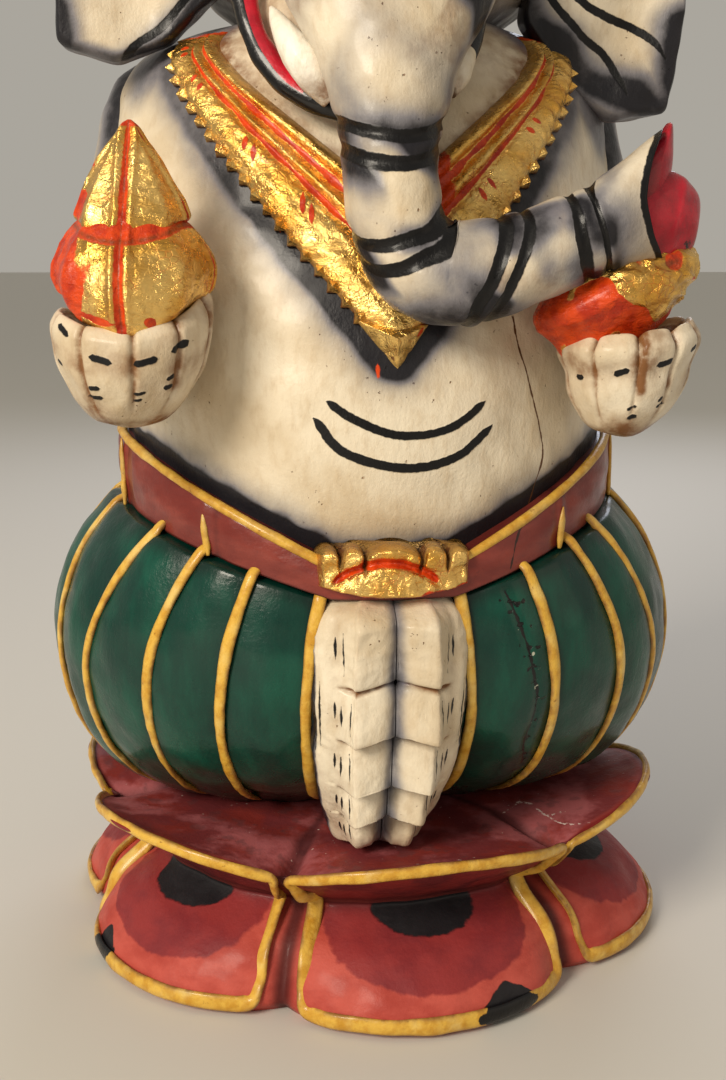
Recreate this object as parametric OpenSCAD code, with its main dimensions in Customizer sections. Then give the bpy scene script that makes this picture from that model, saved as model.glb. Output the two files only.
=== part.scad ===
/* [Lotus pedestal] */
// Radius of the lotus at the foot of a petal
lotus_r = 102; // [98:1:105]
// Radius of the narrow waist of the lotus
waist_r = 75; // [70:1:79]
// Height of the upper rim of the petals
lotus_h = 52; // [48:1:55]
// Number of petals
petals = 6; // [5:1:8]
// Angle from straight ahead to the first petal, towards the figure's left
petal_turn = 8.5; // [0:0.5:30]
// How far the notch between two petals cuts in
notch_depth = 13; // [8:1:16]
// Thickness of the raised edging on the petals
edging_w = 3.4; // [2.4:0.2:4.4]

/* [Trousers and sash] */
// Half width of the trousers at their widest
trousers_r = 104; // [100:1:107]
// Thickness of the raised stripes
stripe_w = 3.4; // [2.4:0.2:4.4]
// Thickness of the sash over the body
sash_t = 3.5; // [2.5:0.5:5]
// Thickness of the sash's raised edge
piping_w = 3; // [2:0.2:4]
// Width of the belt clasp
clasp_w = 44; // [38:1:48]

/* [Body] */
// Half width of the belly
belly_r = 84; // [82:1:86]
// How far the belly stands in front of the axis
belly_front = 82; // [79:1:85]
// Width of the two feet together
feet_w = 45; // [40:1:48]
// Radius of each cupped hand
hand_r = 21.5; // [20:0.5:23]
// Thickness of the necklace over the chest
collar_t = 4; // [3:0.5:5]
// Points along the outer edge of the necklace
collar_points = 44; // [36:2:50]

/* [Offerings] */
// Radius of the bud in the right hand
bud_r = 21.5; // [19:0.5:23]
// Height of the top of the bud
bud_top = 257; // [250:1:262]
// Half length of the sweet in the left hand
sweet_l = 22; // [18:1:23]

/* [Head and crown] */
// Half width of the head
head_r = 58; // [54:1:61]
// Radius of the trunk below the face
trunk_r = 14; // [12.5:0.5:15]
// Thickness of the ears
ear_t = 11; // [8:1:14]
// Radius of the crown's band
crown_r = 53; // [50:1:56]
// Height of the whole statue on a 52 mm lotus
statue_h = 456; // [448:1:462]

/* [Hidden] */

// Everything above the lotus moves up and down with its rim
lift = lotus_h - 52;
// Arc taken up by one petal
petal_arc = 360 / petals;
// Width of one foot, with the groove between the two
foot_w = (feet_w - 1) / 2;
// The head and crown lean a little towards the figure's left, and the ears lean more
head_tilt = 2;
ear_tilt = 5.5;
// The neck, about which the head leans
neck_z = 286;
// Where the bud and the sweet stand, and the hands below them
bud_at = [-69.5, -78];
sweet_at = [60.5, -83];
right_hand_at = [-70.5, -77];
left_hand_at = [65.2, -82.5];

// Rows of height, half width, front depth and back depth
trousers_rows = [
    [46, 0.70, 35, 52], [52, 0.79, 48, 68], [60, 0.87, 62, 80], [71, 0.94, 74, 88],
    [86, 0.985, 83, 93], [101, 1, 87, 94], [117, 0.975, 87, 92], [134, 0.9, 84, 85],
    [150, 0.77, 77, 77]];
torso_rows = [
    [122, 0.80, 0.86, 66], [140, 0.87, 0.93, 71], [152, 0.905, 0.965, 74],
    [168, 0.925, 0.995, 76], [186, 0.955, 1, 77], [205, 0.975, 0.97, 76], [225, 0.975, 0.9, 73],
    [245, 0.95, 0.82, 70], [262, 0.93, 0.74, 66], [274, 0.90, 0.65, 62],
    [282, 0.83, 0.57, 57], [288, 0.68, 0.51, 50], [292, 0.5, 0.48, 44]];
head_rows = [
    [292, 0.68, 42, 42], [300, 0.86, 57, 47], [313, 0.97, 67, 51], [330, 1, 71, 53],
    [349, 0.97, 68, 51], [365, 0.88, 57, 47], [374, 0.76, 46, 41]];

// Points down the middle of the trunk, with its half width and half depth
trunk_rows = [
    [0, -50, 322, 33, 26], [0, -63, 305, 31.5, 22], [-0.5, -73, 288.5, 27.5, 17],
    [-1, -80, 272.5, 19, 15.5], [-1.5, -84, 257, 14.7, 14], [-1.5, -86, 242, 12.8, 13],
    [0.5, -88, 229, 12.8, 13], [6, -90, 220.5, 13.6, 13], [14.5, -92, 217.3, 13.8, 13.2],
    [24, -93.5, 218.8, 13, 13], [35, -94, 222, 12, 12.6], [47, -93.7, 226.8, 11.6, 12.3],
    [57, -92.5, 231, 12.6, 12.3], [68, -91, 237, 16.5, 13]];

// Slope of column k of a table at row i
function slope(t, k, i) =
    let(a = max(i - 1, 0), b = min(i + 1, len(t) - 1))
    (t[b][k] - t[a][k]) / (t[b][0] - t[a][0]);

// Column k of a table at height z, on a smooth curve through its rows
function smooth(t, k, z, i = 0) =
    i < len(t) - 2 && z > t[i + 1][0] ? smooth(t, k, z, i + 1) :
    let(h = t[i + 1][0] - t[i][0], s = (z - t[i][0]) / h, q = s * s * (3 - 2 * s))
    t[i][k] * (1 - q) + t[i + 1][k] * q
        + h * (slope(t, k, i) * s * (1 - s) * (1 - s) - slope(t, k, i + 1) * s * s * (1 - s));

function oval(a, side, front, back, z) =
    [side * sin(a), -(cos(a) > 0 ? front : back) * cos(a), z];

// The trousers sink a little behind the feet
function feet_hollow(a) = 3.5 * exp(-pow(sin(a) / 0.32, 4));

// Points of the body's surface at angle a from straight ahead and height z, moved out by d
function torso_at(a, z, d = 0) =
    oval(a, belly_r * smooth(torso_rows, 1, z) + d, belly_front * smooth(torso_rows, 2, z) + d,
        smooth(torso_rows, 3, z) + d, z);
function trousers_at(a, z, d = 0) =
    oval(a, trousers_r * smooth(trousers_rows, 1, z) + d,
        smooth(trousers_rows, 2, z) + d - feet_hollow(a), smooth(trousers_rows, 3, z) + d, z);
function head_at(a, z, d = 0) =
    oval(a, head_r * smooth(head_rows, 1, z) + d, smooth(head_rows, 2, z) + d,
        smooth(head_rows, 3, z) + d, z);

// 0 in the middle of a petal and 1 in the notch beside it
function petal_u(a) =
    let(m = (a - petal_turn + 3600) % petal_arc)
    min(m, petal_arc - m) / (petal_arc / 2);

// A point of the lotus: its radius falls by notch into each notch, and its height by dip
function lotus_at(a, r, z, notch, dip = 0) =
    let(u = petal_u(a), q = r - notch * pow(u, 2.4))
    [q * sin(a), -q * cos(a), z - dip * u * u];

// Rows of radius, height, notch and dip up the outside of the lotus and over its top
lotus_rows = [
    [lotus_r - 3, 0, notch_depth, 0], [lotus_r, 4, notch_depth, 0],
    [lotus_r - 3, 11, notch_depth - 1, 0], [lotus_r - 12, 20, 8, 0], [waist_r + 1, 27, 4, 0],
    [waist_r, 30, 3, 0], [waist_r + 5, 35, 4, 3], [lotus_r - 10, lotus_h - 7, 7, 7],
    [lotus_r - 3, lotus_h - 1, 10, 9], [lotus_r - 5, lotus_h, 10, 9],
    [lotus_r - 14, lotus_h - 3, 6, 5], [lotus_r - 32, lotus_h - 6, 0, 0]];

function unit(v) = v / norm(v);

// Turns a point about the neck, as the whole head leans
function lean(p) =
    let(c = cos(head_tilt), s = sin(head_tilt), z = p[2] - neck_z)
    [p[0] * c + z * s, p[1], neck_z + z * c - p[0] * s];

// Skins a stack of rings that run anticlockwise round their direction of travel
module loft(rings) {
    n = len(rings[0]);
    m = len(rings);
    sides = [for (j = [0:m - 2]) for (i = [0:n - 1])
        let(a = j * n + i, b = j * n + (i + 1) % n)
        each [[a, a + n, b + n], [a, b + n, b]]];
    ends = [[for (i = [0:n - 1]) i], [for (i = [n - 1:-1:0]) (m - 1) * n + i]];
    polyhedron([for (r = rings) each r], concat(sides, ends));
}

// Skins rings that run round a closed loop
module hoop(rings) {
    n = len(rings[0]);
    m = len(rings);
    sides = [for (j = [0:m - 1]) for (i = [0:n - 1])
        let(k = ((j + 1) % m) * n, a = j * n + i, b = j * n + (i + 1) % n)
        each [[a, k + i, k + (i + 1) % n], [a, k + (i + 1) % n, b]]];
    polyhedron([for (r = rings) each r], sides);
}

// Rings of n points across a path, ru across towards the reference direction and rw the other way
function rings_along(path, ru, rw, n, ref, closed = false) =
    let(m = len(path))
    [for (i = [0:m - 1])
        let(p = path[i],
            before = closed ? path[(i + m - 1) % m] : path[max(i - 1, 0)],
            after = closed ? path[(i + 1) % m] : path[min(i + 1, m - 1)],
            t = unit(after - before),
            u = unit(ref - (ref * t) * t),
            w = cross(t, u))
        [for (k = [0:n - 1])
            p + ru[i] * cos(360 * k / n) * u + rw[i] * sin(360 * k / n) * w]];

// A round cord of one thickness along a path
module cord(path, w, sides = 6, ref = [0, 0.02, 1], closed = false) {
    radii = [for (p = path) w / 2];
    if (closed)
        hoop(rings_along(path, radii, radii, sides, ref, true));
    else
        loft(rings_along(path, radii, radii, sides, ref));
}

// One carved piece, its hollows and seats cut as a single surface
module carved() {
    resize([0, 0, 0]) children();
}

module lotus_pedestal() {
    steps = petals * 10;
    color([0.72, 0.27, 0.27])
        loft([for (row = lotus_rows)
            [for (i = [0:steps - 1])
                lotus_at(petal_turn + 360 * i / steps, row[0], row[1], row[2], row[3])]]);
}

// The raised yellow line round one petal: along its upper rim, down beside the notch,
// and back along its foot
function petal_outline(a0) =
    let(half = petal_arc / 2 * 0.9,
        top = [for (i = [-4:4])
            lotus_at(a0 + half * i / 4, lotus_r - 3.3, lotus_h - 0.5, 10, 9)],
        down = [lotus_at(a0 + half, lotus_r - 8, lotus_h - 9, 8, 4),
            lotus_at(a0 + half * 1.02, waist_r + 2, 30, 4, 0),
            lotus_at(a0 + half, lotus_r - 9, 18, 8, 0)],
        foot = [for (i = [4:-1:-4]) lotus_at(a0 + half * i / 4, lotus_r - 0.5, 5, notch_depth)],
        up = [lotus_at(a0 - half, lotus_r - 9, 18, 8, 0),
            lotus_at(a0 - half * 1.02, waist_r + 2, 30, 4, 0),
            lotus_at(a0 - half, lotus_r - 8, lotus_h - 9, 8, 4)])
    concat(top, down, foot, up);

module petal_edging() {
    color([0.9, 0.65, 0.2])
        for (i = [0:petals - 1])
            let(a0 = petal_turn + petal_arc * i,
                inward = [-sin(a0), cos(a0), 0.01])
            cord(petal_outline(a0), edging_w, 6, inward, true);
}

module torso_form() {
    steps = 48;
    heights = [122, 136, 150, 162, 174, 186, 198, 210, 222, 234, 246, 256, 264, 271, 277, 282, 286,
        289, 292];
    loft([for (z = heights) [for (i = [0:steps - 1]) torso_at(360 * i / steps, z)]]);
}

module trousers_form() {
    steps = 48;
    heights = [46, 50, 55, 61, 68, 77, 88, 101, 114, 126, 138, 150];
    loft([for (z = heights) [for (i = [0:steps - 1]) trousers_at(360 * i / steps, z)]]);
}

module trousers() {
    color([0.08, 0.33, 0.29])
        translate([0, 0, lift])
            carved()
                difference() {
                    trousers_form();
                    torso_form();
                    feet_form();
                }
}

// Angles of the stripes round the figure's left side and its right side, which was cut by hand
stripe_angles = [
    13, 29, 46, 60, 75, 94, 114, 134, 154, 174, -14, -29, -44, -62, -77, -96, -116, -136, -156];

// The stripes draw together in front as they rise to the sash
function stripe_angle(a, z) = abs(a) < 70 ? a * (1 - 0.18 * max(0, z - 105) / 37) : a;

module trouser_stripes() {
    color([0.84, 0.66, 0.22])
        translate([0, 0, lift])
            for (a = stripe_angles)
                cord([for (z = [50, 58, 68, 80, 94, 108, 122, 134, 144])
                    trousers_at(stripe_angle(a, z), z, 0.2)], stripe_w, 6, [sin(a), -cos(a), 0.1]);
}

// Rows of foot and top of each toe, how far it stands forward, its share of the foot's width,
// and the height and depth of the slope at its top
toe_rows = [
    [103, 129, 95, 0.98, 7, 11], [87, 103, 96, 1, 1.5, 1.2], [71, 87, 93, 0.96, 1.5, 1.2],
    [59.5, 71, 87, 0.87, 1.5, 1.2], [48, 59.5, 79, 0.72, 1.5, 1.2]];

// A foot at one height: a square toe that falls back to the groove, and the foot's side behind it
function toe_ring(side, w, front, z) =
    let(half = [[0.5, 56], [0.5, front - 5], [3, front - 2], [0.52 * w, front],
            [0.58 * w, front - 2.5], [0.74 * w, front - 7.5], [w, front - 13.5], [w, 56]])
    [for (i = [0:7]) let(p = half[side > 0 ? i : 7 - i]) [side * p[0], -p[1], z]];

// The right foot was cut a little wider than the left one
module foot_form(side) {
    wide = side < 0 ? 1.04 : 0.98;
    for (row = toe_rows) {
        w = foot_w * wide * row[3];
        loft([toe_ring(side, w, row[2] - 1.2, row[0]), toe_ring(side, w, row[2], row[0] + 1.5),
            toe_ring(side, w, row[2], row[1] - row[4]),
            toe_ring(side, w, row[2] - row[5], row[1])]);
    }
}

module feet_form() {
    foot_form(-1);
    foot_form(1);
}

module right_foot() {
    color([0.86, 0.79, 0.66])
        translate([0, 0, lift])
            carved()
                foot_form(-1);
}

module left_foot() {
    color([0.86, 0.79, 0.66])
        translate([0, 0, lift])
            carved()
                foot_form(1);
}

// The sash dips to the clasp in front and runs level round the back
function sash_rise(a) = cos(a) > 0 ? max(0, abs(sin(a)) - 0.22) / 0.78 : 1;
function sash_low(a) = 127.5 + 19 * sash_rise(a);
function sash_high(a) = 137 + 31 * sash_rise(a);
function sash_out(a, d) = let(p = torso_at(a, 168, d)) [p[0], p[1]];

module sash() {
    steps = 60;
    color([0.49, 0.2, 0.18])
        translate([0, 0, lift])
            carved()
                difference() {
                    hoop([for (i = [0:steps - 1])
                        let(a = -360 * i / steps, p = sash_out(a, sash_t), q = sash_out(a, -12))
                        [[p[0], p[1], sash_high(a) - 1], [p[0], p[1], sash_low(a) + 1],
                            [q[0], q[1], sash_low(a)], [q[0], q[1], sash_high(a)]]]);
                    torso_form();
                    trousers_form();
                }
}

module sash_piping() {
    steps = 48;
    color([0.84, 0.66, 0.22])
        translate([0, 0, lift])
            cord([for (i = [0:steps - 1])
                let(a = -360 * i / steps, p = sash_out(a, sash_t - 1))
                [p[0], p[1], sash_high(a)]], piping_w, 6, [0, 0.01, 1], true);
}

module belt_clasp() {
    lobes = 7;
    color([0.8, 0.6, 0.22])
        translate([0, -80, 135.5 + lift])
            rotate([90, 0, 0])
                linear_extrude(12)
                    polygon([for (i = [0:83])
                        let(a = 360 * i / 84, s = 1 + 0.035 * cos(a * lobes * 2))
                        [clasp_w / 2 * s * cos(a), 8 * s * sign(sin(a)) * pow(abs(sin(a)), 0.55)]]);
}

module torso() {
    color([0.87, 0.8, 0.68])
        translate([0, 0, lift])
            torso_form();
}

// Rows across, back, up and radius down one arm
arm_rows = [
    [60, 4, 272, 12], [65, 3.5, 267, 16.5], [69, 0, 250, 17], [72, -6, 232, 16.5],
    [74, -14, 216, 15.5], [75, -27, 203, 14.5], [74, -42, 196, 13.5], [70.5, -61, 192, 11.8]];

module arm_form(side) {
    path = [for (r = arm_rows) [side * r[0], r[1], r[2]]];
    radii = [for (r = arm_rows) r[3]];
    loft(rings_along(path, radii, radii, 14, [1, 0, 0.01]));
}

module arm(side) {
    color([0.87, 0.8, 0.68])
        translate([0, 0, lift])
            carved()
                difference() {
                    arm_form(side);
                    torso_form();
                    hand_form(side);
                }
}

module right_arm() {
    arm(-1);
}

module left_arm() {
    arm(1);
}

// Height and share of the radius of a cupped hand that tapers to its heel
hand_rows = [
    [176.5, 0.26], [178.5, 0.46], [182, 0.65], [187.5, 0.84], [194, 0.97], [200, 1.03],
    [204, 1.03], [207, 0.96]];

// A cupped hand: flat-fronted fingers stand round a bowl-shaped palm
module hand_form(side) {
    at = side < 0 ? right_hand_at : left_hand_at;
    down = side < 0 ? 0 : -3.5;
    squeeze = side < 0 ? 1 : 0.845;
    steps = 40;
    loft([for (row = hand_rows)
        [for (i = [0:steps - 1])
            let(a = 360 * i / steps, finger = 1 - 0.055 * pow(cos(a * 4.5), 6),
                r = hand_r * squeeze * row[1] * finger)
            [at[0] + r * sin(a), at[1] - r * 0.95 * cos(a), row[0] + down]]]);
}

module right_hand() {
    color([0.87, 0.8, 0.68])
        translate([0, 0, lift])
            carved()
                difference() {
                    hand_form(-1);
                    bud_lower_form();
                    torso_form();
                }
}

module left_hand() {
    color([0.87, 0.8, 0.68])
        translate([0, 0, lift])
            carved()
                difference() {
                    hand_form(1);
                    sweet_form();
                    torso_form();
                }
}

// The two tiers of the bud are eight flat leaves each
module bud_lower_form() {
    translate([bud_at[0], bud_at[1], 198])
        rotate(-8) {
            cylinder(r1 = bud_r - 5.5, r2 = bud_r, h = 15, $fn = 8);
            translate([0, 0, 15])
                cylinder(r1 = bud_r, r2 = bud_r - 7, h = 16, $fn = 8);
        }
}

module bud_lower_leaves() {
    color([0.8, 0.6, 0.22])
        translate([0, 0, lift])
            carved()
                bud_lower_form();
}

module bud_upper_leaves() {
    color([0.8, 0.6, 0.22])
        translate([bud_at[0], bud_at[1], 229 + lift])
            rotate(-8)
                cylinder(r1 = bud_r - 6, r2 = 1.6, h = bud_top - 229, $fn = 8);
}

// A heaped sweet that rises towards the tip of the trunk
module sweet_form() {
    steps = 28;
    loft([for (row = [[-10, 0.5], [-6, 0.7], [-1, 0.86], [4, 1], [9, 0.96], [13, 0.72], [15, 0.3]])
        [for (i = [0:steps - 1])
            let(a = 360 * i / steps, x = sweet_l * row[1] * sin(a))
            [sweet_at[0] + x, sweet_at[1] - 0.8 * sweet_l * row[1] * cos(a), 208 + row[0] + 0.32 * x]]]);
}

module offered_sweet() {
    color([0.82, 0.3, 0.12])
        translate([0, 0, lift])
            carved()
                difference() {
                    sweet_form();
                    trunk_form();
                }
}

// A point of the necklace: t runs from one shoulder, -1, to the other, 1, and k runs from the
// inner edge, 0, to the outer edge, 1, which makes a deeper V
function collar_at(t, k, d) =
    torso_at((46 + 13 * k) * t * (0.9 + 0.1 * abs(t)), 238 - 44 * k + (49 + 44 * k) * abs(t), d);

// Two ridges and a broad band: share of the way out across the necklace, and of its thickness
collar_rows = [
    [0, 0.4], [0.08, 1.05], [0.2, 0.5], [0.32, 1], [0.43, 0.52], [0.6, 0.95], [0.82, 0.9],
    [1, 0.4]];

module necklace_collar() {
    steps = 32;
    across = len(collar_rows) - 1;
    color([0.8, 0.6, 0.22])
        translate([0, 0, lift])
            carved()
                difference() {
                    loft([for (i = [0:steps])
                        let(t = 1 - 2 * i / steps)
                        concat([for (k = [0, 0.33, 0.66, 1]) collar_at(t, k, -3)],
                            [for (j = [across:-1:0])
                                collar_at(t, collar_rows[j][0], collar_t * collar_rows[j][1])])]);
                    torso_form();
                }
}

// A row of small pyramids along the outer edge of the necklace
module necklace_points() {
    color([0.8, 0.6, 0.22])
        translate([0, 0, lift])
            for (i = [0:collar_points - 1]) {
                t = 2 * (i + 0.5) / collar_points - 1;
                if (abs(t) > 0.12)
                    translate(collar_at(t, 1, collar_t - 2))
                        rotate([0, 0, 59 * t])
                            rotate([50, 30 * sign(t), 0])
                                cylinder(r1 = 3.2, r2 = 0.4, h = 4, $fn = 4);
            }
}

module necklace_pendant() {
    color([0.8, 0.6, 0.22])
        translate([0, -belly_front * 0.985, 200 + lift])
            rotate([90, 0, 0])
                hull() {
                    translate([0, 0, -2])
                        linear_extrude(3)
                            polygon([[-10, 4], [10, 4], [0, -8]]);
                    linear_extrude(5)
                        polygon([[-4, 1], [4, 1], [0, -4]]);
                }
}

module head_form() {
    steps = 40;
    heights = [292, 295, 299, 305, 312, 321, 330, 339, 348, 357, 366, 374];
    loft([for (z = heights) [for (i = [0:steps - 1]) lean(head_at(360 * i / steps, z))]]);
}

module head() {
    color([0.87, 0.8, 0.68])
        translate([0, 0, lift])
            carved()
                difference() {
                    head_form();
                    torso_form();
                }
}

module trunk_form() {
    scale_r = trunk_r / 14;
    path = [for (r = trunk_rows) [r[0], r[1], r[2]]];
    wide = [for (r = trunk_rows) r[3] * scale_r];
    deep = [for (r = trunk_rows) r[4] * scale_r];
    loft(rings_along(path, deep, wide, 20, [0, -1, 0]));
}

module trunk() {
    color([0.85, 0.78, 0.67])
        translate([0, 0, lift])
            carved()
                difference() {
                    trunk_form();
                    head_form();
                    torso_form();
                    lining_form();
                }
}

// The open end of the trunk: an upper pointed lobe and a lower rounded one
module lining_form() {
    translate([69, -85, 237])
        rotate([0, 62, 0]) {
            hull() {
                translate([-6, 0, -7])
                    cylinder(r = 6, h = 5, $fn = 16);
                translate([-13, 0, 6])
                    sphere(r = 2.5, $fn = 12);
                translate([-4, 0, 2])
                    sphere(r = 6, $fn = 12);
            }
            hull() {
                translate([4, 0, -7])
                    cylinder(r = 7, h = 5, $fn = 16);
                translate([6, 0, 6])
                    sphere(r = 8, $fn = 16);
            }
        }
}

module trunk_lining() {
    color([0.72, 0.08, 0.15])
        translate([0, 0, lift])
            carved()
                lining_form();
}

// The head looks a little to its right, so the jaw shows on that side of the trunk
module jaw_form() {
    hull() {
        translate([-8, -56, 273])
            sphere(r = 12, $fn = 20);
        translate([-27, -45, 291])
            sphere(r = 11, $fn = 20);
        translate([18, -44, 292])
            sphere(r = 10, $fn = 20);
        translate([0, -30, 292])
            sphere(r = 12, $fn = 20);
    }
}

module lower_jaw() {
    color([0.87, 0.8, 0.68])
        translate([0, 0, lift])
            carved()
                difference() {
                    jaw_form();
                    torso_form();
                    head_form();
                    trunk_form();
                }
}

// The lips run down the right cheek, under the trunk and up the left cheek
lip_path = [
    [-39, -50, 301], [-38.5, -54, 291.5], [-36.5, -57.5, 283], [-33, -60.5, 275.5],
    [-27, -64.5, 268], [-17, -68, 262.5], [-5, -69, 260.5], [8, -67, 263], [18, -62, 271],
    [24, -57, 281], [27, -52, 292]];

module lips() {
    color([0.78, 0.12, 0.2])
        translate([0, 0, lift])
            cord(lip_path, 6, 8, [0, -1, 0.02]);
}

// A tusk curves up from beside the trunk; the left one is the short, broken one
module tusk(rows) {
    radii = [4.6, 4.2, 3, 1];
    color([0.93, 0.9, 0.83])
        translate([0, 0, lift])
            loft(rings_along(rows, radii, radii, 10, [0, -1, 0.01]));
}

module right_tusk() {
    tusk([[-17, -70, 267], [-22, -70.5, 272], [-27, -67, 279], [-31, -62, 286]]);
}

module left_tusk() {
    tusk([[15, -69, 268], [18, -68, 271], [20, -66, 274], [21.5, -64, 277]]);
}

// One ear in outline, from its root below the head round its square lower corner
ear_outline = [
    [44, 296], [60, 278], [75, 270.5], [92, 274], [94, 296], [93, 318], [89, 338], [79, 352],
    [66, 357], [52, 350], [46, 330]];

module ear(side) {
    color([0.85, 0.78, 0.67])
        translate([0, 0, lift])
            carved()
                difference() {
                    translate([0, 0, neck_z])
                        rotate([0, ear_tilt, 0])
                            translate([0, -20, -neck_z])
                                rotate([90, 0, 0])
                                    linear_extrude(ear_t)
                                        offset(r = 3, $fn = 16)
                                            offset(r = -3)
                                                polygon([for (p = ear_outline) [side * p[0], p[1]]]);
                    head_form();
                    torso_form();
                }
}

module right_ear() {
    ear(-1);
}

module left_ear() {
    ear(1);
}

// An almond eye, flattened on the face
module eye(side) {
    color([0.95, 0.93, 0.88])
        translate([0, 0, lift])
            translate(lean([side * 33, -58, 324]))
                rotate([0, head_tilt, side * 30])
                    resize([24, 9, 12])
                        sphere(r = 10, $fn = 24);
}

module right_eye() {
    eye(-1);
}

module left_eye() {
    eye(1);
}

module crown_frame() {
    translate([0, 0, neck_z + lift])
        rotate([0, head_tilt, 0])
            translate([0, -6, -neck_z])
                children();
}

module crown_band() {
    color([0.8, 0.6, 0.22])
        crown_frame()
            rotate_extrude($fn = 72)
                polygon([[0, 374], [0, 379], [crown_r - 2, 379], [crown_r + 1, 377],
                    [crown_r - 1, 372], [crown_r - 1, 366], [crown_r + 2, 363], [crown_r + 1, 360],
                    [crown_r - 3, 358], [crown_r - 3, 374]]);
}

// Upright leaves stand round the band, a tall one in front
module crown_leaves() {
    leaves = 14;
    color([0.8, 0.6, 0.22])
        crown_frame()
            for (i = [0:leaves - 1]) {
                tall = i == 0 ? 1.5 : 1;
                rotate(360 * i / leaves)
                    translate([0, -crown_r + 6.5, 379])
                        rotate([82, 0, 0])
                            linear_extrude(4)
                                polygon([[-8 * tall, 0], [-7 * tall, 8 * tall], [0, 20 * tall],
                                    [7 * tall, 8 * tall], [8 * tall, 0]]);
            }
}

module crown_lower_tier() {
    color([0.75, 0.3, 0.16])
        crown_frame()
            rotate_extrude($fn = 72)
                polygon([[0, 379], [crown_r - 12, 379], [crown_r - 13, 392], [crown_r - 10, 396],
                    [crown_r - 11, 400], [crown_r - 16, 402], [0, 402]]);
}

module crown_upper_tier() {
    color([0.8, 0.6, 0.22])
        crown_frame()
            rotate_extrude($fn = 72)
                polygon([[0, 402], [crown_r - 22, 402], [crown_r - 25, 414], [crown_r - 22, 418],
                    [crown_r - 23, 422], [crown_r - 28, 424], [0, 424]]);
}

module crown_finial() {
    color([0.8, 0.6, 0.22])
        crown_frame()
            rotate_extrude($fn = 48)
                polygon([[0, 424], [17, 424], [15, 430], [10, 433], [13, 438], [12, 443],
                    [6, 449], [2, statue_h - 1], [0, statue_h]]);
}

lotus_pedestal();
petal_edging();
trousers();
trouser_stripes();
right_foot();
left_foot();
sash();
sash_piping();
belt_clasp();
torso();
right_arm();
left_arm();
right_hand();
left_hand();
bud_lower_leaves();
bud_upper_leaves();
offered_sweet();
necklace_collar();
necklace_points();
necklace_pendant();
head();
trunk();
trunk_lining();
lower_jaw();
lips();
right_tusk();
left_tusk();
right_ear();
left_ear();
right_eye();
left_eye();
crown_band();
crown_leaves();
crown_lower_tier();
crown_upper_tier();
crown_finial();
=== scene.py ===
"""A carved, painted and gilded wooden Ganesha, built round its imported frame.

Sizes are in millimetres and angles in degrees, as in the frame's own source, and each mesh is
written in metres. An angle about the statue's axis is 0 straight ahead and grows towards the
figure's left, which is +X.
"""

import bpy
import numpy as np
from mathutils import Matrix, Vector


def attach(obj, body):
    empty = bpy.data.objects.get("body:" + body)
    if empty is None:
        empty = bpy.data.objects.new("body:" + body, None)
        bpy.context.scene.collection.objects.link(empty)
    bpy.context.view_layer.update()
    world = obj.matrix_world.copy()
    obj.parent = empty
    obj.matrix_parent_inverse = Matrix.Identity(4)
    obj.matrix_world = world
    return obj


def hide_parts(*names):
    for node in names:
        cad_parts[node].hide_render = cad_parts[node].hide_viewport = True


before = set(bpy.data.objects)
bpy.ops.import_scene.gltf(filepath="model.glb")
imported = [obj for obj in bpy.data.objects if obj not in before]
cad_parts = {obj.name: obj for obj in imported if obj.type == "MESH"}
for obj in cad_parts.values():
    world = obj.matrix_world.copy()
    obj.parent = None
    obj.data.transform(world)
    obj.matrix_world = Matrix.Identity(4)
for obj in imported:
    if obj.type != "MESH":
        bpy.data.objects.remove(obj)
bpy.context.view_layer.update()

MM = 0.001  # a millimetre in metres
# A painted edge is where its layer passes this value, so a mesh without the layer stays unpainted
EDGE = 3.0

# ---- driving sizes

lotus_r = 102
waist_r = 75
lotus_h = 52
petals = 6
petal_turn = 8.5
notch_depth = 13
edging_w = 3.4
trousers_r = 104
stripe_w = 3.4
sash_t = 3.5
piping_w = 3
clasp_w = 44
belly_r = 84
belly_front = 82
feet_w = 45
hand_r = 21.5
collar_points = 44
bud_top = 257
sweet_l = 22
head_r = 58
crown_r = 53
statue_h = 456
petal_arc = 360 / petals
foot_w = (feet_w - 1) / 2
head_tilt = 2
ear_tilt = 5.5
neck_z = 286
bud_at = (-69.5, -78)
sweet_at = (60.5, -83)
right_hand_at = (-70.5, -77)
left_hand_at = (65.2, -82.5)

# Rows of height, half width, front depth and back depth
trousers_rows = [
    (46, 0.70, 35, 52), (52, 0.79, 48, 68), (60, 0.87, 62, 80), (71, 0.94, 74, 88),
    (86, 0.985, 83, 93), (101, 1, 87, 94), (117, 0.975, 87, 92), (134, 0.9, 84, 85),
    (150, 0.77, 77, 77)]
torso_rows = [
    (122, 0.80, 0.86, 66), (140, 0.87, 0.93, 71), (152, 0.905, 0.965, 74),
    (168, 0.925, 0.995, 76), (186, 0.955, 1, 77), (205, 0.975, 0.97, 76), (225, 0.975, 0.9, 73),
    (245, 0.95, 0.82, 70), (262, 0.93, 0.74, 66), (274, 0.90, 0.65, 62),
    (282, 0.83, 0.57, 57), (288, 0.68, 0.51, 50), (292, 0.5, 0.48, 44)]
head_rows = [
    (292, 0.68, 42, 42), (300, 0.86, 57, 47), (313, 0.97, 67, 51), (330, 1, 71, 53),
    (349, 0.97, 68, 51), (365, 0.88, 57, 47), (374, 0.76, 46, 41)]
# Points down the middle of the trunk, with its half width and half depth
trunk_rows = [
    (0, -50, 322, 33, 26), (0, -63, 305, 31.5, 22), (-0.5, -73, 288.5, 27.5, 17),
    (-1, -80, 272.5, 19, 15.5), (-1.5, -84, 257, 14.7, 14), (-1.5, -86, 242, 12.8, 13),
    (0.5, -88, 229, 12.8, 13), (6, -90, 220.5, 13.6, 13), (14.5, -92, 217.3, 13.8, 13.2),
    (24, -93.5, 218.8, 13, 13), (35, -94, 222, 12, 12.6), (47, -93.7, 226.8, 11.6, 12.3),
    (57, -92.5, 231, 12.6, 12.3), (68, -91, 237, 16.5, 13)]
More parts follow.
